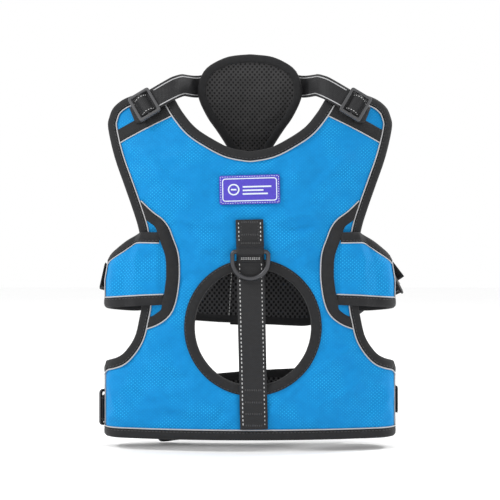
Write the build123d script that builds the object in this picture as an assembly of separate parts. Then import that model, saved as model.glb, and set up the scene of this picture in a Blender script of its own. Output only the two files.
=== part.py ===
from build123d import *
import math
import os

import numpy as np

os.makedirs("parts", exist_ok=True)

# A padded harness vest for a dog, held up by its neck end. +Z runs from the hem to the neck,
# -Y is the outer (back of the dog) face with the leash ring, +Y the belly side with the buckles.
# The harness is a flattened tube: a wide shallow arc over the back, two tight folds at the
# sides and a flat belly side. Heights below are measured from the hem and all pieces are
# lowered by ORIGIN_Z at the end, so that the origin is the middle of the torso space.

# ---- driving dimensions, mm ----
ORIGIN_Z = 110.0            # height of the torso centre above the hem
BACK_R = 360.0              # radius of the arc over the back
BACK_Y = -40.0              # where that arc is furthest out
HALF_W = 131.0              # half width of the tube at the folds
BELLY_Y = 22.0              # the flat belly side
BEND_Z = 220.0              # above this height the back leans over the shoulders
BEND_Y = 230.0              # centre of that lean
SHELL_T = 3.0               # outer knit
LINING_T = 2.2              # air mesh
BIND_W = 8.7                # width of the black binding
BIND_OUT = 1.2              # how far it stands off the shell
BIND_IN = 1.0               # and off the lining
BIND_COVER = 2.5            # how far the panel's own edge is inside the binding
PIPE_W = 1.7                # silver piping
WEB = 25.0                  # webbing width
WEB_T = 1.4                 # webbing thickness
OPEN_X, OPEN_Z = 2.7, 102.5  # round opening
OPEN_R, OPEN_BIND_R = 53.0, 62.0
GIRTH_T = 3.6               # thickness of a girth pad
PAD_N0, PAD_N1 = 4.7, 7.7   # chest and belly pads, above the belly side
WEB_N0 = 8.2                # webbing on those pads
RING_WIRE = 2.0             # leash ring: wire radius
RING_Z = 171.0              # height of its bar
RING_N = 9.3                # how far the bar's axis stands off the arc
PIN_GAP = 0.05
FOLD_F, FOLD_R = -2.0, 11.0  # the black strip along each fold, from front to rear

BACK_YC = BACK_Y + BACK_R
_a = BACK_YC - BELLY_Y
_b = 2 * (HALF_W + BACK_R) + 2 * (_a - 0.0)
# side radius: tangent to the arc, to the fold line and to the belly side
SIDE_R = None
lo, hi = 5.0, 60.0
for _ in range(80):
    mid = (lo + hi) / 2
    f = (BACK_R - mid) ** 2 - (HALF_W - mid) ** 2 - (_a + mid) ** 2
    if f > 0:
        lo = mid
    else:
        hi = mid
SIDE_R = (lo + hi) / 2
SIDE_X = HALF_W - SIDE_R
SIDE_Y = BELLY_Y - SIDE_R
TH0 = math.asin(SIDE_X / (BACK_R - SIDE_R))

nodes = {}


# ---- the surface ----
def on_back(x, z, n):
    """A point over the back: x across, z up as seen from outside, n outward."""
    ys = BACK_YC - math.sqrt((BACK_R + n) ** 2 - x * x)
    if z <= BEND_Z:
        return Vector(x, ys, z)
    rho = BEND_Y - ys
    return Vector(x, BEND_Y - math.sqrt(rho * rho - (z - BEND_Z) ** 2), z)


def d_face(n, z):
    R, r = BACK_R + n, SIDE_R + n
    xt, yt = R * math.sin(TH0), BACK_YC - R * math.cos(TH0)
    front = ThreePointArc((xt, yt, z), (0, BACK_YC - R, z), (-xt, yt, z))
    left = ThreePointArc((-xt, yt, z), (-SIDE_X - r, SIDE_Y, z), (-SIDE_X, SIDE_Y + r, z))
    rear = Line((-SIDE_X, SIDE_Y + r, z), (SIDE_X, SIDE_Y + r, z))
    right = ThreePointArc((SIDE_X, SIDE_Y + r, z), (SIDE_X + r, SIDE_Y, z), (xt, yt, z))
    return Face(Wire([front, left, rear, right]))


def lower_slab(n0, n1, z0=-20.0, z1=BEND_Z):
    out = extrude(d_face(n1, z0), amount=z1 - z0, dir=(0, 0, 1))
    return out - extrude(d_face(n0, z0), amount=z1 - z0, dir=(0, 0, 1))


def upper_slab(n0, n1, half=140.0, turn=34.0):
    def arc(n):
        R = BACK_R + n
        y = BACK_YC - math.sqrt(R * R - half * half)
        return (-half, y, BEND_Z), (0, BACK_YC - R, BEND_Z), (half, y, BEND_Z)

    a0, a1, a2 = arc(n0)
    b0, b1, b2 = arc(n1)
    w = Wire([ThreePointArc(a0, a1, a2), Line(a2, b2), ThreePointArc(b2, b1, b0), Line(b0, a0)])
    return revolve(Face(w), axis=Axis((0, BEND_Y, BEND_Z), (-1, 0, 0)), revolution_arc=turn)


def prism(poly, y0=-90.0, y1=90.0):
    w = Wire.make_polygon([Vector(x, y0, z) for x, z in poly], close=True)
    return extrude(Face(w), amount=y1 - y0, dir=(0, 1, 0))


def disc(x, z, r, y0=-90.0, y1=90.0):
    c = Plane(origin=(x, y0, z), x_dir=(1, 0, 0), z_dir=(0, 1, 0)) * Circle(r)
    return extrude(c, amount=y1 - y0, dir=(0, 1, 0))


def ccw(poly):
    p = np.array(poly, float)
    q = np.roll(p, -1, 0)
    area = (p[:, 0] * q[:, 1] - q[:, 0] * p[:, 1]).sum()
    return p if area > 0 else p[::-1]


def inset(poly, d):
    p = ccw(poly)
    e = np.roll(p, -1, 0) - p
    e /= np.linalg.norm(e, axis=1)[:, None]
    nrm = np.stack([-e[:, 1], e[:, 0]], 1)
    n0, n1 = np.roll(nrm, 1, 0), nrm
    m = d / (1 + (n0 * n1).sum(1))
    return [tuple(v) for v in p + (n0 + n1) * m[:, None]]


def shift(line, d):
    """An open line moved sideways by d, to the left of its direction."""
    p = np.array(line, float)
    t = np.gradient(p, axis=0)
    t /= np.linalg.norm(t, axis=1)[:, None]
    return [tuple(v) for v in p + d * np.stack([-t[:, 1], t[:, 0]], 1)]


def smooth(pts, sub=2):
    p = np.array(pts, float)
    out = []
    for i in range(len(p) - 1):
        a, b = p[max(i - 1, 0)], p[min(i + 2, len(p) - 1)]
        p0, p1 = p[i], p[i + 1]
        for k in range(sub):
            t = k / sub
            out.append(
                tuple(
                    0.5
                    * (
                        2 * p0
                        + (p1 - a) * t
                        + (2 * a - 5 * p0 + 4 * p1 - b) * t * t
                        + (3 * p0 - a - 3 * p1 + b) * t**3
                    )
                )
            )
    out.append(tuple(p[-1]))
    return out


def mirror_poly(half):
    """Closed outline from its right half, which starts and ends on x = 0."""
    left = [(-x, z) for x, z in half[1:-1]][::-1]
    return [tuple(v) for v in half] + left


def flip(poly):
    return [(-x, z) for x, z in poly]


def piece(n0, n1, poly, y1=FOLD_F, upper=True, less=()):
    body = lower_slab(n0, n1) & prism(poly, -90, y1)
    if upper:
        body = body + (upper_slab(n0, n1) & prism(poly, -90, 60))
    for cut in less:
        body = body - cut
    return body


def xy_sheet(centre, t, z0, z1, d=(0, 0, 1)):
    """A thin sheet standing on a line of (x, y) points, running up along d."""
    a = shift(centre, t / 2)
    b = shift(centre, -t / 2)
    w = Wire.make_polygon([Vector(x, y, z0) for x, y in a + b[::-1]], close=True)
    d = Vector(*d)
    return extrude(Face(w), amount=(z1 - z0) / d.Z * d.length, dir=d)


def band(p, q, w):
    """The outline of a straight strap from p to q, w wide."""
    p, q = np.array(p, float), np.array(q, float)
    t = (q - p) / np.linalg.norm(q - p)
    s = np.array([-t[1], t[0]]) * w / 2
    return [tuple(v) for v in (p + s, p - s, q - s, q + s)]


# ---- the back panel ----
HALF = smooth(
    [
        (0, 262), (17.8, 265.4), (34, 273.6), (50.4, 284.9), (62.6, 300.1), (70.8, 313.4),
        (78.8, 318), (91, 320), (103.4, 317.5), (113.6, 314.3), (120.7, 310.3),
        (126.8, 304.2), (129.9, 295.9), (130.9, 285.8), (124.2, 258.2), (115, 232.4),
        (107.2, 210.4), (101.2, 190.8), (98.5, 170), (98, 145), (98.6, 122.1),
        (100.6, 110.8), (104.2, 95.3), (110.1, 84.6), (118.6, 75.5), (129.9, 70.8),
    ],
    2,
) + [(138, 67.0), (150, 66.0), (150, 0.0), (0, 0.0)]
PANEL = mirror_poly(HALF)
CORE = inset(PANEL, BIND_COVER)
IN1 = inset(PANEL, BIND_W)
IN2 = inset(PANEL, BIND_W + PIPE_W)

hole = disc(OPEN_X, OPEN_Z, OPEN_R + BIND_COVER)
nodes["back_shell"] = piece(0, SHELL_T, CORE, less=[hole])
nodes["back_lining"] = piece(-LINING_T, 0, CORE, less=[hole])


def frame(n0, n1, outer, inner):
    low = lower_slab(n0, n1) & (prism(outer, -90, FOLD_F) - prism(inner, -91, 91))
    high = upper_slab(n0, n1) & (prism(outer, -90, 60) - prism(inner, -91, 91))
    return low + high


edge = frame(-LINING_T - BIND_IN, SHELL_T + BIND_OUT, PANEL, IN1)
edge = edge - nodes["back_shell"] - nodes["back_lining"]
nodes["edge_binding"] = edge
nodes["edge_piping"] = frame(SHELL_T, SHELL_T + 1.6, IN1, IN2)
ring = lower_slab(-LINING_T - BIND_IN, SHELL_T + BIND_OUT) & (
    disc(OPEN_X, OPEN_Z, OPEN_BIND_R, -90, 0) - disc(OPEN_X, OPEN_Z, OPEN_R, -91, 1)
)
nodes["opening_binding"] = ring - nodes["back_shell"] - nodes["back_lining"]

# label patch, sewn on above the strap
LABEL = [(-27, 213.4), (27, 214.8), (26.5, 241), (-27.5, 239.4)]
nodes["label_patch"] = (
    (lower_slab(SHELL_T + 0.02, SHELL_T + 0.9) & prism(LABEL, -90, 0))
    + (upper_slab(SHELL_T + 0.02, SHELL_T + 0.9) & prism(LABEL, -90, 0))
)

# spine strap, also the grab handle where it crosses the round opening
SPINE = band((3.6, 10.9), (-0.5, 200.0), WEB)
nodes["spine_strap"] = lower_slab(4.4, 4.4 + WEB_T) & prism(SPINE, -90, 0)

# loop that holds the ring's bar
ring_y = BACK_Y - RING_N
kx = 0.25
keeper = Pos(kx, ring_y + 0.15, RING_Z + 0.3) * Box(WEB, 6.5, 12.0)
keeper = fillet(keeper.edges().filter_by(Axis.X).group_by(Axis.Y)[0], 2.6)
keeper = keeper - Pos(kx, ring_y, RING_Z) * Rot(0, 90, 0) * Cylinder(RING_WIRE + PIN_GAP, 40)
nodes["ring_keeper"] = keeper


# leash ring: bar, two corners, straight sides and a half-round bow
def wire_ring(half_bar, corner, side, bow, rad):
    bar = Rot(0, 90, 0) * Cylinder(rad, 2 * half_bar)
    out = bar
    for s in (1, -1):
        c = Plane(origin=(s * half_bar, 0, 0), x_dir=(0, 1, 0), z_dir=(1, 0, 0)) * Circle(rad)
        q = revolve(c, axis=Axis((s * half_bar, 0, -corner), (0, s, 0)), revolution_arc=90)
        out = out + q
        leg = Pos(s * (half_bar + corner), 0, -corner - side / 2) * Cylinder(rad, side)
        out = out + leg
    c = Plane(origin=(bow, 0, -corner - side), x_dir=(1, 0, 0), z_dir=(0, 0, 1)) * Circle(rad)
    out = out + revolve(c, axis=Axis((0, 0, -corner - side), (0, 1, 0)), revolution_arc=180)
    return out


nodes["d_ring"] = Pos(kx, ring_y, RING_Z) * wire_ring(13.2, 3.0, 5.0, 16.2, RING_WIRE)

# ---- armhole trims and shoulder bands, left and right ----
ARC = [
    (98.6, 217), (88.1, 206.9), (79.1, 200.3), (73.2, 192.5), (70.2, 184.7), (66, 173.5),
    (64.3, 165.2), (63.8, 153), (64.3, 142.7), (66.8, 126.5), (71.8, 114.2), (81, 106.1),
    (91.3, 101.6), (99, 99.5),
]
TRIM_IN = smooth(ARC, 1)
TRIM_OUT = shift(ARC, 9.0)
trim_poly = TRIM_IN + TRIM_OUT[::-1]
clip = inset(PANEL, BIND_W + PIPE_W + 0.15)
trim = lower_slab(SHELL_T + 0.02, SHELL_T + 1.6) & (prism(trim_poly, -90, 0) & prism(clip, -91, 1))
nodes["armhole_trim_right"] = trim
nodes["armhole_trim_left"] = mirror(trim, about=Plane.YZ)
sband = [(122, 271.2), (95.3, 284.8), (70.5, 296.5), (75.5, 306.8), (100, 296.0), (127, 282.0)]
sb = upper_slab(SHELL_T + 0.02, SHELL_T + 1.2) & (prism(sband, -90, 60) & prism(clip, -91, 61))
nodes["shoulder_band_right"] = sb
nodes["shoulder_band_left"] = mirror(sb, about=Plane.YZ)


# ---- wings and girth pads ----
def wing_profile(d_in, d_out, x0, x1, hump=True):
    """(x, y) section of a wing from x0 on the back, round the fold, to x1 on the belly side."""
    inner, outer = [], []

    def lift(x):
        if not hump:
            return 0.2
        return float(np.interp(x, [0, 80, 83.5, 103.5, 116], [3.25, 3.25, 5.0, 5.0, 0.2]))

    xt = BACK_R * math.sin(TH0)
    for x in np.arange(x0, xt, 4.0):
        for lst, n in ((inner, lift(x) - d_in), (outer, lift(x) + GIRTH_T + d_out)):
            th = math.asin(x / BACK_R)
            R = BACK_R + n
            lst.append((R * math.sin(th), BACK_YC - R * math.cos(th)))
    for psi in np.linspace(TH0, math.pi, 19):
        base = lift(SIDE_X + SIDE_R * math.sin(psi)) if psi < math.pi / 3 else 0.2
        for lst, n in ((inner, base - d_in), (outer, base + GIRTH_T + d_out)):
            lst.append((SIDE_X + (SIDE_R + n) * math.sin(psi), SIDE_Y - (SIDE_R + n) * math.cos(psi)))
    for lst, n in ((inner, 0.2 - d_in), (outer, 0.2 + GIRTH_T + d_out)):
        lst.append((x1, BELLY_Y + n))
    return inner + outer[::-1]


def wing_sheet(d_in, d_out, x0, x1, z0, z1, hump=True):
    w = Wire.make_polygon([Vector(x, y, z0) for x, y in wing_profile(d_in, d_out, x0, x1, hump)], close=True)
    return extrude(Face(w), amount=z1 - z0, dir=(0, 0, 1))


inner_edge = [p for p in shift(ARC, 9.3) if 130 < p[1] < 186]
inner_edge = [(inner_edge[0][0] + 2.0, 189.5)] + inner_edge + [(inner_edge[-1][0] + 1.5, 123.4)]
UW_FRONT = inner_edge + [(98, 122.5), (125, 120), (150, 119), (150, 168), (133, 170), (127, 178), (118, 186), (108, 189.8)]
UW_REAR = [
    (150, 119), (125, 116), (110, 115), (96, 116.5), (88.5, 123), (87, 134), (90, 146),
    (97, 163), (105, 179), (114, 186), (124, 180), (133, 170), (150, 168),
]
LG_REAR = [(150, 0), (62.5, 2), (62.5, 57), (68, 66), (80, 71.5), (100, 72), (138, 67), (150, 66)]
LG_REAR_L = [(150, 0), (77, 2), (77, 59), (82, 67), (93, 71), (104, 71.5), (138, 67), (150, 66)]


def frame_poly(poly, keep_x=150):
    return inset(poly, BIND_W)


def upper_wing():
    full = wing_sheet(0, 0, 60, 80, 100, 210)
    thick = wing_sheet(0.15, 0.7, 60, 80, 100, 210)
    f_in = prism(inset(UW_FRONT, 8.0), -90, FOLD_F)
    r_in = prism(inset(UW_REAR, 8.0), FOLD_R, 90)
    # the front reaches the armhole trim with no binding on that side
    side = [(60, 131.4), (60, 181.6), (84.5, 181.6), (84.5, 131.4)]
    f_side = prism(side, -90, FOLD_F) & prism(UW_FRONT, -91, 0)
    gap = prism(shift(ARC, -3.0) + shift(ARC, 9.3)[::-1], -90, 0)
    core_f = (full & (f_in + f_side)) - gap
    core_r = full & r_in
    whole = prism(UW_FRONT, -90, FOLD_F) + prism(UW_FRONT, FOLD_F, SIDE_Y) + prism(UW_REAR, SIDE_Y, 90)
    b = (thick & whole) - (f_in + f_side) - r_in - gap
    return core_f, core_r, b


cf, cr, cb = upper_wing()
for name, s in (("right", False), ("left", True)):
    g = (lambda o: mirror(o, about=Plane.YZ)) if s else (lambda o: o)
    nodes["upper_wing_" + name] = g(cf)
    nodes["upper_girth_pad_" + name] = g(cr)
    nodes["upper_wing_binding_" + name] = g(cb)


def lower_girth(rear):
    core = lower_slab(0.2, 0.2 + GIRTH_T) & prism(inset(rear, 8.0), FOLD_R, 90)
    whole = prism(rear, FOLD_F, 90)
    b = (lower_slab(-0.6, 0.2 + GIRTH_T + 0.5) & whole) - prism(inset(rear, 8.0), FOLD_R, 90)
    return core, b


c, b = lower_girth(LG_REAR)
nodes["lower_girth_pad_right"], nodes["lower_girth_binding_right"] = c, b
c, b = lower_girth(LG_REAR_L)
nodes["lower_girth_pad_left"] = mirror(c, about=Plane.YZ)
nodes["lower_girth_binding_left"] = mirror(b, about=Plane.YZ)

# ---- throat pad ----
PAD_HALF = [
    (0, 354.8), (12, 353.8), (21.8, 352), (34, 346.5), (43, 339), (48, 327), (48, 314),
    (40, 297), (32, 285.8), (22, 270.5), (17, 259), (16, 251), (0, 250),
]
TPAD = mirror_poly(PAD_HALF)
LEAN = 0.30


def pad_y(z):
    return 27.0 - LEAN * (z - 255.0)


def leaning(d0, d1, z0=235.0, z1=370.0):
    """A leaning plate between two distances behind the throat pad's middle plane."""
    w = Wire.make_polygon(
        [Vector(-70, pad_y(z0) + d0, z0), Vector(-70, pad_y(z0) + d1, z0), Vector(-70, pad_y(z1) + d1, z1), Vector(-70, pad_y(z1) + d0, z1)],
        close=True,
    )
    return extrude(Face(w), amount=140, dir=(1, 0, 0))


t_core, t_in = inset(TPAD, 2.0), inset(TPAD, 7.0)
nodes["throat_mesh"] = leaning(-2.6, 0) & prism(t_core)
nodes["throat_cover"] = leaning(0, 2.0) & prism(t_core)
trap = [(-9.4, 347), (9.4, 347), (24, 324), (36, 298), (29, 284), (-29, 284), (-36, 298), (-24, 324)]
nodes["throat_panel"] = leaning(2.02, 3.0) & prism(trap) & prism(inset(TPAD, 7.2))
tb = leaning(-3.6, 2.9) & (prism(TPAD) - prism(t_in, -91, 91))
nodes["throat_binding"] = tb - nodes["throat_mesh"] - nodes["throat_cover"]

# throat strap: from the pad's back down to the chest pad
yb = BELLY_Y + WEB_N0 + WEB_T / 2
path = [(pad_y(274) + 4.2, 274), (32.6, 250), (32.6, 246.5), (31.1, 228), (yb, 205), (yb, 101)]
a, b = shift(path, WEB_T / 2), shift(path, -WEB_T / 2)
w = Wire.make_polygon([Vector(-40, y, z) for y, z in a + b[::-1]], close=True)
sheet = extrude(Face(w), amount=80, dir=(1, 0, 0))
nodes["throat_strap"] = sheet & prism(band((2.0, 280), (-6.9, 95), WEB))


# ---- webbing sliders ----
def ring_plate(lu, wv, t, wire, r, bar=2.6):
    """A slider: rounded ring with a middle bar, lying in its own plane."""
    o = extrude(RectangleRounded(lu, wv, r), amount=t)
    i = extrude(RectangleRounded(lu - 2 * wire, wv - 2 * wire, max(r - wire, 0.6)), amount=t)
    ring = o - i
    ring = fillet(ring.edges().group_by(Axis.Z)[-1], min(t, wire) * 0.28)
    return ring + Pos(0, 0, t / 2) * Box(bar, wv - wire, t * 0.7)


def place(obj, origin, u, n):
    return Plane(origin=origin, x_dir=u, z_dir=n) * obj


tz = 244.0
y_slider = 32.6 + WEB_T / 2 + 0.35
nodes["throat_slider"] = place(ring_plate(26.5, 35.0, 2.6, 2.7, 5.0), (0.3, y_slider, tz), (0.048, 0, 1), (0, 1, 0))

# ---- shoulder straps ----
S_LEAN = (0, 0.3, 1)
S_Z = 304.0
s_line = [(48.9, 5.6), (54.5, 0.5), (60.5, -14), (66, -23.5), (75, -26.6), (90, -24.6), (98, -22.9), (107, -20.5)]
z0, z1 = 275.0, 345.0
line0 = [(x, y - 0.3 * (S_Z - z0)) for x, y in s_line]
s_sheet = xy_sheet(line0, 1.2, z0, z1, S_LEAN)
s_poly = [
    (48.8, 335), (63, 335.5), (72, 332.0), (104, 313.2), (108, 310.7), (97.8, 293.4),
    (90, 298), (61.0, 315), (48.8, 315),
]
ss = s_sheet & prism(s_poly)
nodes["shoulder_strap_right"] = ss
nodes["shoulder_strap_left"] = mirror(ss, about=Plane.YZ)
# short anchor webbing sewn on the shoulder, under the slider
anchor = [(100.5, 309.8), (110.0, 304.3), (103.5, 288.5), (94.0, 290.5)]
an = upper_slab(SHELL_T + 1.3, SHELL_T + 2.4) & (prism(anchor, -90, 60) & prism(clip, -91, 61))
nodes["shoulder_anchor_right"] = an
nodes["shoulder_anchor_left"] = mirror(an, about=Plane.YZ)
su = Vector(35.3, 0, -20.8).normalized()
# the slider lies on the strap: its normal is square to the strap's run and to the lean
t1 = Vector(8.0, 1.6, 0)
t2 = Vector(*S_LEAN)
sn = t1.cross(t2).normalized()
if sn.Y > 0:
    sn = sn * -1
su = (su - sn * su.dot(sn)).normalized()
sy = float(np.interp(96.5, [p[0] for p in s_line], [p[1] for p in s_line]))
SLIDER_O = Vector(96.5, sy + 0.3 * (305.2 - S_Z), 305.2) + sn * (0.6 + 0.45)
sl = place(ring_plate(22, 27, 2.6, 2.8, 2.5), SLIDER_O, su, sn)
nodes["shoulder_slider_right"] = sl
nodes["shoulder_slider_left"] = mirror(sl, about=Plane.YZ)

# ---- chest band ----
CHEST = [
    (62, 146), (52, 154.5), (12.6, 159.4), (-52, 160.5), (-83.5, 156.3), (-92, 141.6),
    (-92, 121), (-75, 107), (-31, 104), (52, 100), (62, 102),
]
BELLY = [
    (64.7, 58), (50, 60.5), (0, 58), (-83.5, 50.5), (-88.5, -10.5), (-47.6, -5.5),
    (0, -1.2), (64.7, 4),
]


def pad(poly):
    core = prism(inset(poly, 7.0), BELLY_Y + PAD_N0, BELLY_Y + PAD_N1)
    rim = prism(poly, BELLY_Y + PAD_N0, BELLY_Y + PAD_N1 + 0.45) - prism(inset(poly, 7.0), -91, 91)
    return core, rim


nodes["chest_pad"], nodes["chest_pad_binding"] = pad(CHEST)
nodes["belly_pad"], nodes["belly_pad_binding"] = pad(BELLY)

yw0, yw1 = BELLY_Y + WEB_N0, BELLY_Y + WEB_N0 + WEB_T
nodes["chest_webbing_right"] = prism(band((50, 116.2), (93, 119.0), WEB), yw0, yw1)
nodes["belly_webbing_right"] = prism(band((35, 34.6), (61, 33.3), WEB), yw0, yw1)


def side_webbing(x_start, x_drop, psi_end, poly):
    """Webbing that leaves a pad, drops to the girth pad and follows the fold."""
    n_top, n_low = WEB_N0 + WEB_T / 2, 4.6 + 0.2 + WEB_T / 2
    pts = [(-x_start, BELLY_Y + n_top), (-x_drop, BELLY_Y + n_top), (-x_drop - 9, BELLY_Y + n_low), (-SIDE_X, BELLY_Y + n_low)]
    for psi in np.linspace(math.pi, psi_end, 12)[1:]:
        r = SIDE_R + n_low
        pts.append((-(SIDE_X + r * math.sin(psi)), SIDE_Y - r * math.cos(psi)))
    return xy_sheet(pts, WEB_T, -30, 200) & prism(poly, -90, 90)


nodes["chest_webbing_left"] = side_webbing(68, 93.2, math.radians(100), band((-64, 132.8), (-150, 151.2), WEB))
nodes["belly_webbing_left"] = side_webbing(72, 91.2, math.radians(86), band((-60, 24.6), (-150, 24.6), WEB))

# metal sliders at the left folds
n_g = 4.6 + 0.2 + WEB_T + 1.1


def fold_frame(psi):
    r = SIDE_R + n_g
    o = Vector(-(SIDE_X + r * math.sin(psi)), SIDE_Y - r * math.cos(psi), 0)
    nrm = Vector(-math.sin(psi), -math.cos(psi), 0)
    tan = Vector(-math.cos(psi) * -1, 0, 0)
    tan = Vector(math.cos(psi), -math.sin(psi), 0)
    return o, nrm, tan


o, nrm, tan = fold_frame(math.radians(158))
gu = (tan * math.cos(math.radians(12)) + Vector(0, 0, 1) * math.sin(math.radians(12))).normalized()
nodes["chest_slider"] = place(ring_plate(24, 34, 2.4, 2.6, 4.0), Vector(o.X, o.Y, 145.4), gu, nrm)
CHEST_GLIDE_AXIS = gu
o, nrm, tan = fold_frame(math.radians(125))
nodes["belly_slider"] = place(ring_plate(24, 34, 2.4, 2.6, 4.0), Vector(o.X, o.Y, 25.0), tan, nrm)
BELLY_GLIDE_AXIS = tan


# ---- side-release buckles with a lock button ----
def buckle(s):
    T = 5.0
    half = [(-46, 17), (-38.5, 17), (-35.5, 16), (-30.5, 10.6), (-28, 9.9), (-13.5, 9.9), (-12, 15.5), (0, 15.5)]
    poly = half + [(u, -v) for u, v in half[::-1]]

    def ext(pts, w0, w1):
        w = Wire.make_polygon([Vector(u * s, v * s, w0 * s) for u, v in pts], close=True)
        return extrude(Face(w), amount=(w1 - w0) * s, dir=(0, 0, 1))

    def box(u0, u1, v0, v1, w0, w1):
        return ext([(u0, v0), (u1, v0), (u1, v1), (u0, v1)], w0, w1)

    female = ext(poly, -T, T)
    female = fillet(female.edges().group_by(Axis.Z)[-1], 0.9 * s)
    female = female - box(-43.2, -40.2, -13, 13, -6, 6)
    female = female - box(-31, 1, -12.9, 12.9, -2.9, 2.9)
    female = female - box(-28.4, -12.2, -20, 20, 2.8, 6)
    button = box(-28.15, -12.45, -9.5, 9.5, 3.1, 5.9)
    button = fillet(button.edges().filter_by(Axis.Z), 1.4 * s)
    button = fillet(button.edges().group_by(Axis.Z)[-1], 0.8 * s)
    # two short skirts keep the button in the cavity, between the spine plates
    male = box(0.35, 21.5, -17, 17, -4, 4)
    male = fillet(male.edges().filter_by(Axis.Z), 1.2 * s)
    male = fillet(male.edges().group_by(Axis.Z)[-1], 0.8 * s)
    male = male - box(7.2, 11.3, -13.4, 13.4, -6, 6) - box(13.3, 18.2, -13.4, 13.4, -6, 6)
    male = male - box(11.2, 13.4, -13.4, 13.4, 1.6, 6)
    male = male + box(-13, 0.6, -3.0, 3.0, -1.4, 1.4)
    arms = []
    for k in (1, -1):
        pocket = Pos(3.2 * s, k * 8.7 * s, 0) * Cylinder(2.05 * s, 3.1 * s)
        slot = ext([(3.2, k * 7.3), (-0.5, k * 6.2), (-0.5, k * 10.4), (3.2, k * 10.1)], -1.55, 1.55)
        male = male - pocket - slot
        pts = [
            (3.2, 7.6), (-24.5, 7.6), (-27, 8.0), (-27, 9.2), (-25.5, 11.5), (-20, 14.2),
            (-13.4, 14.4), (-12.7, 13.9), (-12.7, 9.8), (3.2, 9.8),
        ]
        arm = ext([(u, k * v) for u, v in pts], -1.4, 1.4) + Pos(3.2 * s, k * 8.7 * s, 0) * Cylinder(1.98 * s, 2.8 * s)
        # the grip is thicker where it fills the side window
        grip = ext([(u, k * v) for u, v in [(-24.2, 10.4), (-19.8, 14.1), (-13.6, 14.3), (-13.2, 13.8), (-13.2, 10.4)]], -2.5, 2.5)
        arms.append(arm + grip)
    return female, male, arms, button


CHEST_S = 0.85
TILT = math.radians(12)
cu = Vector(-0.794 * math.cos(TILT), math.sin(TILT), -0.608 * math.cos(TILT)).normalized()
across = Vector(0, 1, 0).cross(cu).normalized()
cn = cu.cross(across).normalized()
if cn.Y < 0:
    cn = cn * -1
CHEST_O = Vector(103.6, yw1 + 0.35 + 5.0 * CHEST_S + 0.2, 128.6)
f, m, arms, k = buckle(CHEST_S)
for name, obj in (
    ("chest_buckle_socket", f), ("chest_buckle_plug", m), ("chest_buckle_arm_a", arms[0]),
    ("chest_buckle_arm_b", arms[1]), ("chest_lock_button", k),
):
    nodes[name] = place(obj, CHEST_O, cu, cn)
BELLY_O = Vector(64.6, yw1 + 0.35 + 5.0, 33.2)
f, m, arms, k = buckle(1.0)
for name, obj in (
    ("belly_buckle_socket", f), ("belly_buckle_plug", m), ("belly_buckle_arm_a", arms[0]),
    ("belly_buckle_arm_b", arms[1]), ("belly_lock_button", k),
):
    nodes[name] = place(obj, BELLY_O, (-1, 0, 0), (0, 1, 0))

# anchor webbing of the two sockets, from the fold seam
nodes["belly_buckle_anchor"] = lower_slab(4.6, 4.6 + WEB_T) & prism(band((99, 33.2), (150, 33.2), WEB), FOLD_F + 1, 90)
pts = [(131.6, 20.9), (135.4, 19.2), (138.0, 14.5), (139.4, 8), (139.5, 2), (138.2, -5)]
nodes["chest_buckle_anchor"] = xy_sheet(pts, WEB_T, 110, 190) & prism(band((124, 136), (150, 152), WEB), -90, 90)

# the binding and piping of the hem are their own pieces
for name in ("binding", "piping"):
    low, high = sorted(nodes["edge_" + name].solids(), key=lambda v: v.center().Z)
    nodes["hem_" + name], nodes["edge_" + name] = low, high

# ---- write ----
for name, obj in nodes.items():
    moved = Pos(0, 0, -ORIGIN_Z) * obj
    solids = moved.solids()
    out = solids[0] if len(solids) == 1 else Compound(solids)
    export_step(out, "parts/" + name + ".step")
    print(name, len(solids), round(sum(v.volume for v in solids)))

print("nodes", len(nodes))
print("side radius", round(SIDE_R, 3), "side x", round(SIDE_X, 3), "side y", round(SIDE_Y, 3))
print("ring axis point", (kx, ring_y, RING_Z - ORIGIN_Z))
print("throat slider axis", (0.048, 0, 1))
print("shoulder slider", SLIDER_O, su, sn)
print("chest slider axis", CHEST_GLIDE_AXIS, "belly slider axis", BELLY_GLIDE_AXIS)
print("chest buckle", CHEST_O, cu, cn, across, "belly buckle", BELLY_O)
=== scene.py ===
import bpy
import math
import random

import numpy as np
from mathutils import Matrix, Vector, kdtree, noise
from mathutils.geometry import delaunay_2d_cdt


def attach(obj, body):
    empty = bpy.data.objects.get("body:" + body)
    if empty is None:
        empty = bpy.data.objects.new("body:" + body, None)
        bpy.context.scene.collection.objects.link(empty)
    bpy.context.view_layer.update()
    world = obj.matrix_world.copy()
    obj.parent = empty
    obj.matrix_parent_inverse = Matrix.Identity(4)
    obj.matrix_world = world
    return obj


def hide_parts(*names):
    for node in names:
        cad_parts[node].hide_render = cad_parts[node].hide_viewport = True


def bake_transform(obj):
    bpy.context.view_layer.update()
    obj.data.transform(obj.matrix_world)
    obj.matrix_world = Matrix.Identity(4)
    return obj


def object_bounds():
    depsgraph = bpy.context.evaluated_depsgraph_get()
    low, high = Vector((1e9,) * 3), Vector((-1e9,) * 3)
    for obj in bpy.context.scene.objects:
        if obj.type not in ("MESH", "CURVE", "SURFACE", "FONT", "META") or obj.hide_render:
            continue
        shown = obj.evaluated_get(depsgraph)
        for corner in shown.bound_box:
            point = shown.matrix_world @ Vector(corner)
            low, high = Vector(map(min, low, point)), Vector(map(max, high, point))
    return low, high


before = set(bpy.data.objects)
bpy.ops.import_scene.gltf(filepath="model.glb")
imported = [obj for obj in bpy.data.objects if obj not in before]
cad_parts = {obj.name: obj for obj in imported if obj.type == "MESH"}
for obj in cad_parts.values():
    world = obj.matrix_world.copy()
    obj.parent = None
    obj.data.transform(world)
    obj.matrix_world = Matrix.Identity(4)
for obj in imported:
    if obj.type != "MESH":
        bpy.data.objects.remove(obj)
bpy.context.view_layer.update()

random.seed(7)
scene = bpy.context.scene

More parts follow.
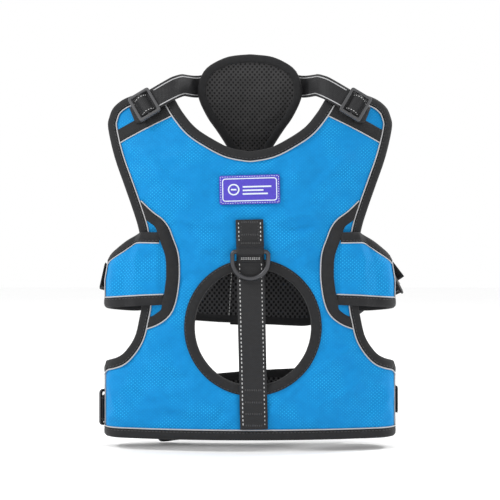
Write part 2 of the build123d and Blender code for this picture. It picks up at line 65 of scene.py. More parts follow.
# The tube's surface, as in the CAD: lengths in mm, heights from the hem, n outward.
R, YC, HW, BY, Z0 = 360.0, 320.0, 131.0, 22.0, 110.0
SR, SX, SY = 21.9662, 109.0338, 0.0338
TH0 = math.asin(SX / (R - SR))
LA = R * TH0
LT = LA + SR * (math.pi - TH0)
BEND_Z, BEND_Y = 220.0, 230.0


def P(a, z, n, taper=0.0):
    """Surface point: a is the way round from the middle of the back, z the height, n outward."""
    a, z, n = np.broadcast_arrays(np.asarray(a, float), np.asarray(z, float), np.asarray(n, float))
    s = np.where(a < 0, -1.0, 1.0)
    t = np.abs(a)
    th = t / R
    xf, yf = (R + n) * np.sin(th), YC - (R + n) * np.cos(th)
    psi = TH0 + (t - LA) / SR
    xs, ys = SX + (SR + n) * np.sin(psi), SY - (SR + n) * np.cos(psi)
    xr, yr = SX - (t - LT), BY + n
    up = z > 205
    x = np.where(up | (t < LA), xf, np.where(t < LT, xs, xr))
    y = np.where(up | (t < LA), yf, np.where(t < LT, ys, yr))
    if taper:
        g = np.interp(z, [119, 145, 163, 182, 190], [0, 0, 3.0, 12.0, 18.0])
        w = np.clip((x - 92) / 34, 0, 1)
        x = x - taper * g * w * w * (3 - 2 * w)
    k = np.clip(z - BEND_Z, 0, None)
    rho = BEND_Y - y
    y = np.where(k > 0, BEND_Y - np.sqrt(np.clip(rho * rho - k * k, 1, None)), y)
    return np.stack([s * x, y, z - Z0], -1) * 0.001


def a_front(x, z=0.0):
    s, t = (1 if x >= 0 else -1), abs(x)
    if z > 205 or t < R * math.sin(TH0):
        return s * R * math.asin(t / R)
    return s * (LA + SR * (math.asin(min((t - SX) / SR, 0.9957)) - TH0))


def a_rear(x):
    s, t = (1 if x >= 0 else -1), abs(x)
    if t > SX:
        return s * (LA + SR * (math.pi - math.asin(min((t - SX) / SR, 1.0)) - TH0))
    return s * (LT + SX - t)


def F(u, z, n, y0=BY):
    """A flat piece on the belly side; u runs to -X."""
    u, z, n = np.broadcast_arrays(np.asarray(u, float), np.asarray(z, float), np.asarray(n, float))
    return np.stack([-u, y0 + n, z - Z0], -1) * 0.001


def pad_y(z):
    return 27.0 - 0.30 * (z - 255.0)


def T(u, z, n):
    """The leaning throat pad, seen from its outer side; u runs to -X."""
    u, z, n = np.broadcast_arrays(np.asarray(u, float), np.asarray(z, float), np.asarray(n, float))
    bow = -0.0022 * u * u
    return np.stack([-u, pad_y(z) + n + bow + 1.0, z - Z0], -1) * 0.001


# ---------- lines ----------
def smooth(pts, sub=4, closed=False):
    p = np.array(pts, float)
    n = len(p)
    out = []
    for i in range(n if closed else n - 1):
        if closed:
            a, p0, p1, b = p[i - 1], p[i], p[(i + 1) % n], p[(i + 2) % n]
        else:
            a, p0, p1, b = p[max(i - 1, 0)], p[i], p[i + 1], p[min(i + 2, n - 1)]
        for k in range(sub):
            t = k / sub
            out.append(0.5 * (2 * p0 + (p1 - a) * t + (2 * a - 5 * p0 + 4 * p1 - b) * t * t + (3 * p0 - a - 3 * p1 + b) * t**3))
    if not closed:
        out.append(p[-1])
    return np.array(out)


def resample(pts, h, closed=False):
    p = np.array(pts, float)
    if closed:
        p = np.vstack([p, p[:1]])
    d = np.concatenate([[0], np.cumsum(np.linalg.norm(np.diff(p, axis=0), axis=1))])
    m = max(int(round(d[-1] / h)), 3)
    t = np.linspace(0, d[-1], m + 1)
    q = np.stack([np.interp(t, d, p[:, k]) for k in range(p.shape[1])], 1)
    return q[:-1] if closed else q


def side_normals(p, closed):
    if closed:
        t = np.roll(p, -1, 0) - np.roll(p, 1, 0)
    else:
        t = np.gradient(p, axis=0)
    t /= np.maximum(np.linalg.norm(t, axis=1), 1e-9)[:, None]
    return np.stack([-t[:, 1], t[:, 0]], 1)


def shift(p, d, closed=False):
    p = np.array(p, float)
    return p + d * side_normals(p, closed)


def ccw(p):
    p = np.array(p, float)
    q = np.roll(p, -1, 0)
    return p if (p[:, 0] * q[:, 1] - q[:, 0] * p[:, 1]).sum() > 0 else p[::-1]


def inside(poly, pts):
    poly, pts = np.array(poly), np.array(pts)
    c = np.zeros(len(pts), bool)
    x, y = pts[:, 0], pts[:, 1]
    for (x0, y0), (x1, y1) in zip(poly, np.roll(poly, -1, 0)):
        if y0 == y1:
            continue
        hit = ((y0 > y) != (y1 > y)) & (x < (x1 - x0) * (y - y0) / (y1 - y0) + x0)
        c ^= hit
    return c


def mirror_line(p):
    q = np.array(p, float).copy()
    q[:, 0] *= -1
    return q[::-1]


# ---------- materials ----------
MATS = {}


class Net:
    def __init__(self, name):
        self.m = bpy.data.materials.new(name)
        self.m.use_nodes = True
        self.t = self.m.node_tree
        self.b = self.t.nodes["Principled BSDF"]
        self.out = self.t.nodes["Material Output"]

    def n(self, kind, **kw):
        node = self.t.nodes.new(kind)
        for k, v in kw.items():
            if k.startswith("i_"):
                node.inputs[int(k[2:])].default_value = v
            else:
                setattr(node, k, v)
        return node

    def l(self, a, b):
        self.t.links.new(a, b)

    def uv(self):
        return self.n("ShaderNodeUVMap", uv_map="UVMap").outputs[0]

    def obj(self):
        return self.n("ShaderNodeTexCoord").outputs["Object"]

    def xyz(self, v):
        s = self.n("ShaderNodeSeparateXYZ")
        self.l(v, s.inputs[0])
        return s.outputs

    def math(self, op, a, b=None, c=None):
        m = self.n("ShaderNodeMath", operation=op)
        for k, v in enumerate((a, b, c)):
            if v is None:
                continue
            if isinstance(v, (int, float)):
                m.inputs[k].default_value = v
            else:
                self.l(v, m.inputs[k])
        return m.outputs[0]

    def wave(self, ax, period, phase=0.0):
        return self.math("SINE", self.math("MULTIPLY_ADD", ax, 2 * math.pi / period, phase))

    def noise(self, v, scale, detail=3.0, rough=0.55):
        t = self.n("ShaderNodeTexNoise")
        t.inputs["Scale"].default_value = scale
        t.inputs["Detail"].default_value = detail
        t.inputs["Roughness"].default_value = rough
        self.l(v, t.inputs["Vector"])
        return t.outputs[0]

    def ramp(self, f, stops):
        r = self.n("ShaderNodeValToRGB")
        e = r.color_ramp.elements
        while len(e) < len(stops):
            e.new(0.5)
        for k, (p, c) in enumerate(stops):
            e[k].position = p
            e[k].color = (*c, 1)
        self.l(f, r.inputs[0])
        return r.outputs[0]

    def mix(self, f, a, b):
        m = self.n("ShaderNodeMix", data_type="RGBA")
        for k, v in ((0, f), (6, a), (7, b)):
            if isinstance(v, (int, float)):
                m.inputs[k].default_value = v
            elif isinstance(v, tuple):
                m.inputs[k].default_value = (*v, 1)
            else:
                self.l(v, m.inputs[k])
        return m.outputs[2]

    def bump(self, h, strength=0.5, dist=0.0004):
        b = self.n("ShaderNodeBump")
        b.inputs["Strength"].default_value = strength
        b.inputs["Distance"].default_value = dist
        self.l(h, b.inputs["Height"])
        self.l(b.outputs[0], self.b.inputs["Normal"])

    def done(self, color, rough, key, metal=0.0, sheen=0.0, coat=0.0, spec=None):
        if isinstance(color, tuple):
            self.b.inputs["Base Color"].default_value = (*color, 1)
        else:
            self.l(color, self.b.inputs["Base Color"])
        if isinstance(rough, (int, float)):
            self.b.inputs["Roughness"].default_value = rough
        else:
            self.l(rough, self.b.inputs["Roughness"])
        self.b.inputs["Metallic"].default_value = metal
        if sheen:
            self.b.inputs["Sheen Weight"].default_value = sheen
            self.b.inputs["Sheen Roughness"].default_value = 0.4
        if coat:
            self.b.inputs["Coat Weight"].default_value = coat
            self.b.inputs["Coat Roughness"].default_value = 0.15
        if spec is not None:
            self.b.inputs["Specular IOR Level"].default_value = spec
        MATS[key] = self.m
        return self.m


def diamond(N, u, v, pu, pv):
    """1 at the middle of each hole of a staggered lattice, -1 half way between."""
    s = N.math("ADD", N.math("DIVIDE", u, pu), N.math("DIVIDE", v, pv))
    d = N.math("SUBTRACT", N.math("DIVIDE", u, pu), N.math("DIVIDE", v, pv))
    c1 = N.math("COSINE", N.math("MULTIPLY", s, 2 * math.pi))
    c2 = N.math("COSINE", N.math("MULTIPLY", d, 2 * math.pi))
    return N.math("MULTIPLY", N.math("ADD", c1, c2), 0.5)


# blue mesh knit: UVs are in millimetres
N = Net("blue_knit")
u, v, _ = N.xyz(N.uv())
cell = diamond(N, u, v, 3.6, 3.1)
fine = diamond(N, u, v, 1.5, 1.3)
big = N.noise(N.uv(), 0.030, 2.0)
mid = N.noise(N.uv(), 0.16, 3.0)
patch = N.ramp(big, [(0.44, (0.0, 0.0, 0.0)), (0.60, (1, 1, 1))])
# lighter dots on the raised points of the diamond lattice, shown in noise patches: the knit's pattern, with a painted
# highlight on the dots
dots = N.ramp(cell, [(0.52, (0, 0, 0)), (0.85, (1, 1, 1))])
f = N.math("MULTIPLY", dots, N.math("MULTIPLY_ADD", patch, 0.75, 0.13))
base = N.mix(mid, (0.0010, 0.182, 0.455), (0.0020, 0.225, 0.540))
col = N.mix(f, base, (0.022, 0.44, 0.76))
deep = N.ramp(fine, [(0.0, (0, 0, 0)), (0.5, (0, 0, 0)), (1.0, (1, 1, 1))])
col = N.mix(N.math("MULTIPLY", deep, 0.28), col, (0.002, 0.12, 0.42))
hgt = N.math("SUBTRACT", N.math("MULTIPLY", cell, 0.5), N.math("MULTIPLY", deep, 0.6))
N.bump(hgt, 0.35, 0.0003)
N.done(col, 0.70, "blue_knit", sheen=0.0, spec=0.16)

# black air mesh
N = Net("air_mesh")
u, v, _ = N.xyz(N.uv())
cell = diamond(N, u, v, 4.5, 5.6)
wob = N.noise(N.uv(), 0.35, 2.0)
hole = N.ramp(N.math("ADD", cell, N.math("MULTIPLY", wob, 0.18)), [(0.13, (0, 0, 0)), (0.37, (1, 1, 1))])
fuzz = N.noise(N.uv(), 2.6, 4.0)
# the lattice between the holes is lightened towards grey along its crests: the threads' pattern, with a painted
# highlight on the crests
ridge = N.ramp(cell, [(0.0, (1, 1, 1)), (0.30, (0, 0, 0))])
thread = N.mix(fuzz, (0.007, 0.007, 0.0073), (0.025, 0.025, 0.026))
thread = N.mix(N.math("MULTIPLY", ridge, 0.6), thread, (0.074, 0.074, 0.077))
col = N.mix(hole, thread, (0.0025, 0.0025, 0.003))
N.bump(N.math("SUBTRACT", N.math("MULTIPLY", fuzz, 0.3), hole), 0.8, 0.0008)
N.done(col, 0.8, "air_mesh", sheen=0.06, spec=0.22)

# finer mesh of the throat pad's inner side
N = Net("air_mesh_fine")
u, v, _ = N.xyz(N.uv())
cell = diamond(N, u, v, 4.4, 4.8)
hole = N.ramp(cell, [(0.12, (0, 0, 0)), (0.45, (1, 1, 1))])
fuzz = N.noise(N.uv(), 2.2, 4.0)
thread = N.mix(fuzz, (0.017, 0.0165, 0.017), (0.054, 0.053, 0.054))
col = N.mix(hole, thread, (0.004, 0.004, 0.004))
N.bump(N.math("SUBTRACT", N.math("MULTIPLY", fuzz, 0.3), hole), 0.8, 0.0008)
N.done(col, 0.8, "air_mesh_fine", sheen=0.1, spec=0.3)

# black tape of the bindings
N = Net("binding_tape")
u, v, _ = N.xyz(N.uv())
tw = N.math("SINE", N.math("MULTIPLY", N.math("ADD", u, v), 2 * math.pi / 1.1))
mott = N.noise(N.uv(), 0.22, 3.0)
col = N.mix(mott, (0.006, 0.006, 0.0065), (0.018, 0.018, 0.019))
col = N.mix(N.math("MULTIPLY_ADD", tw, 0.12, 0.12), col, (0.034, 0.034, 0.036))
N.bump(tw, 0.35, 0.00018)
N.done(col, 0.72, "binding_tape", sheen=0.06, spec=0.22)

# webbing: ribs across, a herringbone down the middle
N = Net("webbing")
u, v, _ = N.xyz(N.uv())
rib = N.wave(u, 1.25)
herr = N.math("SINE", N.math("MULTIPLY", N.math("ADD", u, N.math("ABSOLUTE", N.math("PINGPONG", v, 3.0))), 2 * math.pi / 1.6))
mott = N.noise(N.uv(), 0.3, 3.0)
col = N.mix(mott, (0.005, 0.005, 0.0055), (0.014, 0.014, 0.015))
col = N.mix(N.math("MULTIPLY_ADD", herr, 0.14, 0.14), col, (0.036, 0.036, 0.039))
N.bump(N.math("ADD", N.math("MULTIPLY", rib, 0.5), N.math("MULTIPLY", herr, 0.4)), 0.5, 0.00025)
N.done(col, 0.58, "webbing", sheen=0.05, spec=0.28)

# reflective piping and thread
N = Net("silver_piping")
u, v, _ = N.xyz(N.uv())
sp = N.noise(N.uv(), 1.2, 3.0)
col = N.mix(sp, (0.26, 0.26, 0.265), (0.52, 0.52, 0.53))
N.bump(N.wave(u, 1.1), 0.3, 0.0002)
N.done(col, 0.45, "silver_piping", metal=0.15, spec=0.6)

N = Net("pale_thread")
sp = N.noise(N.obj(), 1500.0, 2.0)
col = N.mix(sp, (0.34, 0.34, 0.34), (0.60, 0.60, 0.59))
N.bump(sp, 0.4, 0.0002)
N.done(col, 0.55, "pale_thread", spec=0.5)

N = Net("black_thread")
sp = N.noise(N.obj(), 1500.0, 2.0)
N.bump(sp, 0.4, 0.0002)
N.done(N.mix(sp, (0.012, 0.012, 0.013), (0.06, 0.06, 0.062)), 0.55, "black_thread", spec=0.5)

N = Net("grey_thread")
sp = N.noise(N.obj(), 1500.0, 2.0)
N.bump(sp, 0.4, 0.0002)
N.done(N.mix(sp, (0.020, 0.020, 0.021), (0.075, 0.075, 0.078)), 0.5, "grey_thread", spec=0.4)

# woven label
N = Net("label_weave")
u, v, _ = N.xyz(N.uv())
wv = N.math("MULTIPLY", N.wave(u, 0.9), N.wave(v, 0.7))
mott = N.noise(N.uv(), 0.5, 2.0)
col = N.mix(mott, (0.055, 0.038, 0.40), (0.088, 0.062, 0.50))
N.bump(wv, 0.4, 0.0002)
N.done(col, 0.5, "label_weave", sheen=0.1, spec=0.3)
N = Net("label_thread")
wv = N.noise(N.obj(), 1300.0, 2.0)
N.bump(wv, 0.4, 0.0002)
N.done(N.mix(wv, (0.50, 0.56, 0.66), (0.72, 0.78, 0.86)), 0.5, "label_thread")


def moulded(key, c0, c1, rough, coat=0.0, spec=0.5):
    N = Net(key)
    o = N.obj()
    g = N.noise(o, 900.0, 3.0)
    w = N.noise(o, 60.0, 3.0)
    scr = N.noise(o, 260.0, 5.0, 0.7)
    # painted edge highlight: convex edges, found by pointiness, are lightened towards a much brighter tone
    geo = N.n("ShaderNodeNewGeometry")
    edge = N.ramp(geo.outputs["Pointiness"], [(0.50, (0, 0, 0)), (0.56, (1, 1, 1))])
    col = N.mix(w, c0, c1)
    col = N.mix(N.math("MULTIPLY", edge, 0.35), col, tuple(min(1.0, x * 1.9 + 0.02) for x in c1))
    N.bump(g, 0.10, 0.0002)
    N.done(col, N.math("MULTIPLY_ADD", scr, 0.22, rough - 0.08), key, coat=coat, spec=spec)


moulded("buckle_grey", (0.070, 0.072, 0.077), (0.108, 0.110, 0.116), 0.27, coat=0.12)
moulded("buckle_plug", (0.045, 0.046, 0.050), (0.075, 0.076, 0.080), 0.38)
moulded("slider_black", (0.030, 0.030, 0.032), (0.055, 0.055, 0.058), 0.38)
moulded("button_orange", (0.95, 0.20, 0.010), (1.0, 0.27, 0.022), 0.34, coat=0.2)
moulded("button_coral", (0.82, 0.18, 0.060), (0.90, 0.24, 0.095), 0.36, coat=0.15)


def metal(key, c0, c1, rough, m=1.0):
    N = Net(key)
    o = N.obj()
    s = N.noise(o, 240.0, 5.0, 0.7)
    w = N.noise(o, 50.0, 2.0)
    N.bump(s, 0.06, 0.0001)
    N.done(N.mix(w, c0, c1), N.math("MULTIPLY_ADD", s, 0.25, rough - 0.1), key, metal=m)


metal("nickel", (0.42, 0.42, 0.42), (0.60, 0.60, 0.59), 0.28)
metal("dark_steel", (0.050, 0.050, 0.053), (0.085, 0.085, 0.09), 0.36, 0.85)


# ---------- mesh makers ----------
def add_mesh(name, verts, faces, uvs, mat, body="vest", sharp=False):
    """verts in metres, one UV per vertex in millimetres."""
    me = bpy.data.meshes.new(name)
    me.from_pydata([tuple(v) for v in verts], [], [tuple(int(i) for i in f) for f in faces])
    me.validate()
    me.update()
    if uvs is not None:
        lay = me.uv_layers.new(name="UVMap")
        idx = np.zeros(len(me.loops), int)
        me.loops.foreach_get("vertex_index", idx)
        uvs = np.asarray(uvs, float)
        lay.data.foreach_set("uv", uvs[idx].ravel())
    me.materials.append(MATS[mat])
    me.polygons.foreach_set("use_smooth", [not sharp] * len(me.polygons))
    ob = bpy.data.objects.new(name, me)
    scene.collection.objects.link(ob)
    if body:
        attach(ob, body)
    return ob


def fill(outline, holes=(), h=3.0):
    """Points and triangles inside an outline, and how far each is from an edge."""
    loops = [resample(ccw(outline), h, True)] + [resample(ccw(o), h, True) for o in holes]
    bd = np.vstack(loops)
    edges, k = [], 0
    for L in loops:
        edges += [(k + i, k + (i + 1) % len(L)) for i in range(len(L))]
        k += len(L)
    lo, hi = bd.min(0), bd.max(0)
    g = []
    row = 0
    z = lo[1] + h * 0.5
    while z < hi[1]:
        x = np.arange(lo[0] + (row % 2) * h / 2, hi[0], h)
        g.append(np.stack([x, np.full_like(x, z)], 1))
        z += h * 0.866
        row += 1
    g = np.vstack(g)
    keep = inside(loops[0], g)
    for L in loops[1:]:
        keep &= ~inside(L, g)
    g = g[keep]
    kd = kdtree.KDTree(len(bd))
    for i, p in enumerate(bd):
        kd.insert((p[0], p[1], 0), i)
    kd.balance()
    dist = np.array([kd.find((p[0], p[1], 0))[2] for p in g])
    g, dist = g[dist > 0.55 * h], dist[dist > 0.55 * h]
    pts = np.vstack([bd, g])
    res = delaunay_2d_cdt([Vector((p[0], p[1])) for p in pts], edges, [], 1, 1e-7)
    out = np.array([(p[0], p[1]) for p in res[0]])
    tris = [f for f in res[2] if len(f) == 3]
    cen = np.array([out[list(f)].mean(0) for f in tris])
    ok = inside(loops[0], cen)
    for L in loops[1:]:
        ok &= ~inside(L, cen)
    tris = [t for t, o in zip(tris, ok) if o]
    fixed = []
    for t in tris:
        p = out[list(t)]
        ar = (p[1][0] - p[0][0]) * (p[2][1] - p[0][1]) - (p[2][0] - p[0][0]) * (p[1][1] - p[0][1])
        fixed.append(tuple(t) if ar > 0 else (t[0], t[2], t[1]))
    dist = np.array([kd.find((p[0], p[1], 0))[2] for p in out])
    return out, fixed, dist, len(bd)


def rim_edges(tris):
    seen = {}
    for t in tris:
        for a, b in ((t[0], t[1]), (t[1], t[2]), (t[2], t[0])):
            seen[(a, b)] = True
    return [(a, b) for (a, b) in seen if (b, a) not in seen]


def cloth(co, tris, pin, press, grow, frames=14, cap=0.003, bend=0.2, seed=0):
    """Lets a layer sewn down at its edges swell and pucker; gives each point's move."""
    me = bpy.data.meshes.new("tmp_cloth")
    me.from_pydata([tuple(v) for v in co], [], [tuple(int(i) for i in t) for t in tris])
    ob = bpy.data.objects.new("tmp_cloth", me)
    scene.collection.objects.link(ob)
    vg = ob.vertex_groups.new(name="pin")
    for i in np.flatnonzero(pin):
        vg.add([int(i)], 1.0, "REPLACE")
    m = ob.modifiers.new("c", "CLOTH")
    s = m.settings
    s.quality = 5
    s.mass = 0.12
    s.tension_stiffness = 14
    s.compression_stiffness = 14
    s.shear_stiffness = 6
    s.bending_stiffness = bend
    s.air_damping = 2.0
    s.vertex_group_mass = "pin"
    s.pin_stiffness = 1.0
    s.use_pressure = True
    s.uniform_pressure_force = press
    s.shrink_min = -grow
    s.effector_weights.gravity = 0.0
    m.collision_settings.use_collision = False
    m.collision_settings.use_self_collision = False
    m.point_cache.frame_start = 1
    m.point_cache.frame_end = frames
    for fr in range(1, frames + 1):
        scene.frame_set(fr)
    ev = ob.evaluated_get(bpy.context.evaluated_depsgraph_get())
    new = np.zeros(len(co) * 3)
    ev.data.vertices.foreach_get("co", new)
    d = new.reshape(-1, 3) - co
    bpy.data.objects.remove(ob, do_unlink=True)
    bpy.data.meshes.remove(me)
    scene.frame_set(1)
    d[~np.isfinite(d)] = 0
    ln = np.linalg.norm(d, axis=1)
    k = np.where(ln > cap, cap / np.maximum(ln, 1e-9), 1.0)
    return d * k[:, None]


def line_dist(pts, line):
    """How far each point is from a polyline."""
    line = np.array(line, float)
    best = np.full(len(pts), 1e9)
    for a, b in zip(line[:-1], line[1:]):
        d = b - a
        t = np.clip(((pts - a) @ d) / max(d @ d, 1e-9), 0, 1)
        best = np.minimum(best, np.linalg.norm(pts - a - t[:, None] * d, axis=1))
    return best


def offset_clean(line, d, closed=False):
    """A line moved sideways by d, without the loops that tight corners would give."""
    p = resample(line, 1.0, closed)
    q = shift(p, d, closed)
    ref = np.vstack([p, p[:1]]) if closed else p
    q = q[line_dist(q, ref) > abs(d) - 0.12]
    for _ in range(3):
        if closed:
            q = 0.25 * np.roll(q, 1, 0) + 0.5 * q + 0.25 * np.roll(q, -1, 0)
        else:
            q[1:-1] = 0.25 * q[:-2] + 0.5 * q[1:-1] + 0.25 * q[2:]
    return q


def layer(name, outline, fmap, n_out, n_in, mat, holes=(), h=3.0, crown=1.2, lam=7.0, press=2.0, grow=0.02,
          cap=0.0025, body="vest", back_mat=None, ripple=0.25, bend=0.2, inner_crown=0.0, cover=4.8, hold=()):
    """A padded layer: outer face crowned between its sewn edges, plain inner face, closed rim."""
    pts, tris, dist, nb = fill(outline, holes, h)
    true = dist
    dist = np.clip(dist - cover, 0, None)
    for line, half in hold:
        dist = np.minimum(dist, np.clip(line_dist(pts, line) - half, 0, None))
    rise = crown * (1 - np.exp(-dist / lam))
    wob = np.array([noise.noise(Vector((p[0] * 0.05, p[1] * 0.05, 3.1))) + 0.5 * noise.noise(Vector((p[0] * 0.13, p[1] * 0.13, 9.0))) for p in pts])
    fade = 1 - np.exp(-dist / 4.0)
    outer = fmap(pts[:, 0], pts[:, 1], n_out + rise + ripple * wob * fade)
    move = cloth(outer, tris, dist < 0.3, press, grow, cap=cap, bend=bend) if press else np.zeros_like(outer)
    move = move * (1 - np.exp(-dist / 2.5))[:, None]
    nrm = fmap(pts[:, 0], pts[:, 1], np.full(len(pts), n_out + 1.0)) - fmap(pts[:, 0], pts[:, 1], np.full(len(pts), n_out * 1.0))
    nrm /= np.linalg.norm(nrm, axis=1)[:, None]
    along = (move * nrm).sum(1)
    outer = outer + move + nrm * np.clip(-along - 0.0012, 0, None)[:, None]
    inner = fmap(pts[:, 0], pts[:, 1], n_in - inner_crown * (1 - np.exp(-dist / lam)))
    V = np.vstack([outer, inner])
    m = len(pts)
    faces = [t for t in tris] + [(t[0] + m, t[2] + m, t[1] + m) for t in tris]
    faces += [(b, a, a + m, b + m) for a, b in rim_edges(tris)]
    ob = add_mesh(name, V, faces, np.vstack([pts, pts]), mat, body)
    if back_mat:
        ob.data.materials.append(MATS[back_mat])
        k = len(tris)
        for i in range(k, 2 * k):
            ob.data.polygons[i].material_index = 1
    return ob


def strip(name, path, fmap, profile, closed, mat, body="vest", h=2.5, pucker=0.12, seed=0.0, ends=True, other=None, weight=None, top=None):
    """A tape swept along a line on the surface. profile is a closed loop of (inward, n)."""
    p = resample(path, h, closed)
    nr = side_normals(p, closed)
    L = np.concatenate([[0], np.cumsum(np.linalg.norm(np.diff(p, axis=0), axis=1))])
    k = len(profile)
    V, UV = [], []
    run = np.concatenate([[0], np.cumsum([math.dist(profile[i], profile[(i + 1) % k]) for i in range(k)])])[:-1]
    for j, (d, n) in enumerate(profile):
        wob = np.array([noise.noise(Vector((s * 0.11 + seed, d * 0.09, n * 0.2))) + 0.6 * noise.noise(Vector((s * 0.33 + seed, d * 0.1, 7.0 + n * 0.2))) for s in L])
        dd, nn_ = np.full(len(p), float(d)), np.full(len(p), float(n))
        if other is not None:
            w_ = weight(p)
            dd = dd + (other[j][0] - d) * w_
            nn_ = nn_ + (other[j][1] - n) * w_
        q = p + (dd + 0.35 * pucker * wob)[:, None] * nr
        nn_ = nn_ + pucker * wob
        if top is not None:
            nn_ = np.minimum(nn_, top(q))
        V.append(fmap(q[:, 0], q[:, 1], nn_))
        UV.append(np.stack([L, np.full_like(L, run[j])], 1))
    V = np.stack(V, 1).reshape(-1, 3)
    UV = np.stack(UV, 1).reshape(-1, 2)
    m = len(p)
    faces = []
    for i in range(m if closed else m - 1):
        i2 = (i + 1) % m
        for j in range(k):
            j2 = (j + 1) % k
            faces.append((i * k + j, i * k + j2, i2 * k + j2, i2 * k + j))
    if not closed and ends:
        faces.append(tuple(range(k))[::-1])
        faces.append(tuple((m - 1) * k + j for j in range(k)))
    ob = add_mesh(name, V, faces, UV, mat, body)
    return ob


def fix_normals(ob):
    import bmesh
    bm = bmesh.new()
    bm.from_mesh(ob.data)
    bmesh.ops.recalc_face_normals(bm, faces=bm.faces)
    bm.to_mesh(ob.data)
    bm.free()


def tape(w, n0, n1, d0=0.0, r=0.9):
    """Rounded section of a folded tape, from d0 inward over w."""
    return [
        (d0 + w, n1 - 0.9), (d0 + w - 0.35, n1 - 0.25), (d0 + w * 0.72, n1 + 0.05), (d0 + w * 0.4, n1 + 0.1),
        (d0 + 1.6, n1 - 0.25), (d0 + 0.45, n1 - 1.3), (d0, (n0 + n1) / 2 + 0.8), (d0, (n0 + n1) / 2 - 0.8),
        (d0 + 0.45, n0 + 1.3), (d0 + 1.6, n0 + 0.25), (d0 + w * 0.4, n0 - 0.1), (d0 + w * 0.72, n0 - 0.05),
        (d0 + w - 0.35, n0 + 0.25), (d0 + w, n0 + 0.9),
    ]


def tube_profile(r, d, n, k=8):
    return [(d + r * math.cos(2 * math.pi * i / k), n + r * math.sin(2 * math.pi * i / k)) for i in range(k)]


def stitches(name, path, fmap, n, mat="black_thread", length=2.2, pitch=3.0, width=0.7, high=0.45, closed=False, body="vest", jitter=0.12):
    """Separate stitches lying along a line on the surface."""
    p = resample(path, 0.6, closed)
    if closed:
        p = np.vstack([p, p[:1]])
    L = np.concatenate([[0], np.cumsum(np.linalg.norm(np.diff(p, axis=0), axis=1))])
    V, Fc, UV = [], [], []
    s = pitch * 0.5
    rnd = random.Random(len(name) * 31 + int(L[-1]))
    while s + length < L[-1]:
        ln = length * (1 + rnd.uniform(-jitter, jitter))
        side = rnd.uniform(-0.12, 0.12)
        base = len(V)
        rings = [(0.0, 0.35, 0.1), (0.22, 0.9, 0.8), (0.5, 1.0, 1.0), (0.78, 0.9, 0.8), (1.0, 0.35, 0.1)]
        pos = [s + ln * t for t, _, _ in rings]
        c = np.stack([np.interp(pos, L, p[:, k]) for k in range(2)], 1)
        tg = np.array([np.interp(s + ln, L, p[:, 0]) - np.interp(s, L, p[:, 0]), np.interp(s + ln, L, p[:, 1]) - np.interp(s, L, p[:, 1])])
        tg /= max(np.linalg.norm(tg), 1e-9)
        sd = np.array([-tg[1], tg[0]])
        for (t, ws, hs), q in zip(rings, c):
            for a in range(6):
                an = math.pi * 2 * a / 6
                off = math.cos(an) * width / 2 * ws + side
                up = math.sin(an) * high / 2 * max(hs, 0.2) + (0.0 if hs > 0.5 else -0.25)
                w = q + sd * off
                V.append((w[0], w[1], n + up))
        for r_ in range(4):
            for a in range(6):
                a2 = (a + 1) % 6
                Fc.append((base + r_ * 6 + a, base + r_ * 6 + a2, base + (r_ + 1) * 6 + a2, base + (r_ + 1) * 6 + a))
        Fc.append(tuple(base + a for a in range(6))[::-1])
        Fc.append(tuple(base + 24 + a for a in range(6)))
        s += pitch
    V = np.array(V)
    ob = add_mesh(name, fmap(V[:, 0], V[:, 1], V[:, 2]), Fc, V[:, :2], mat, body)
    return ob


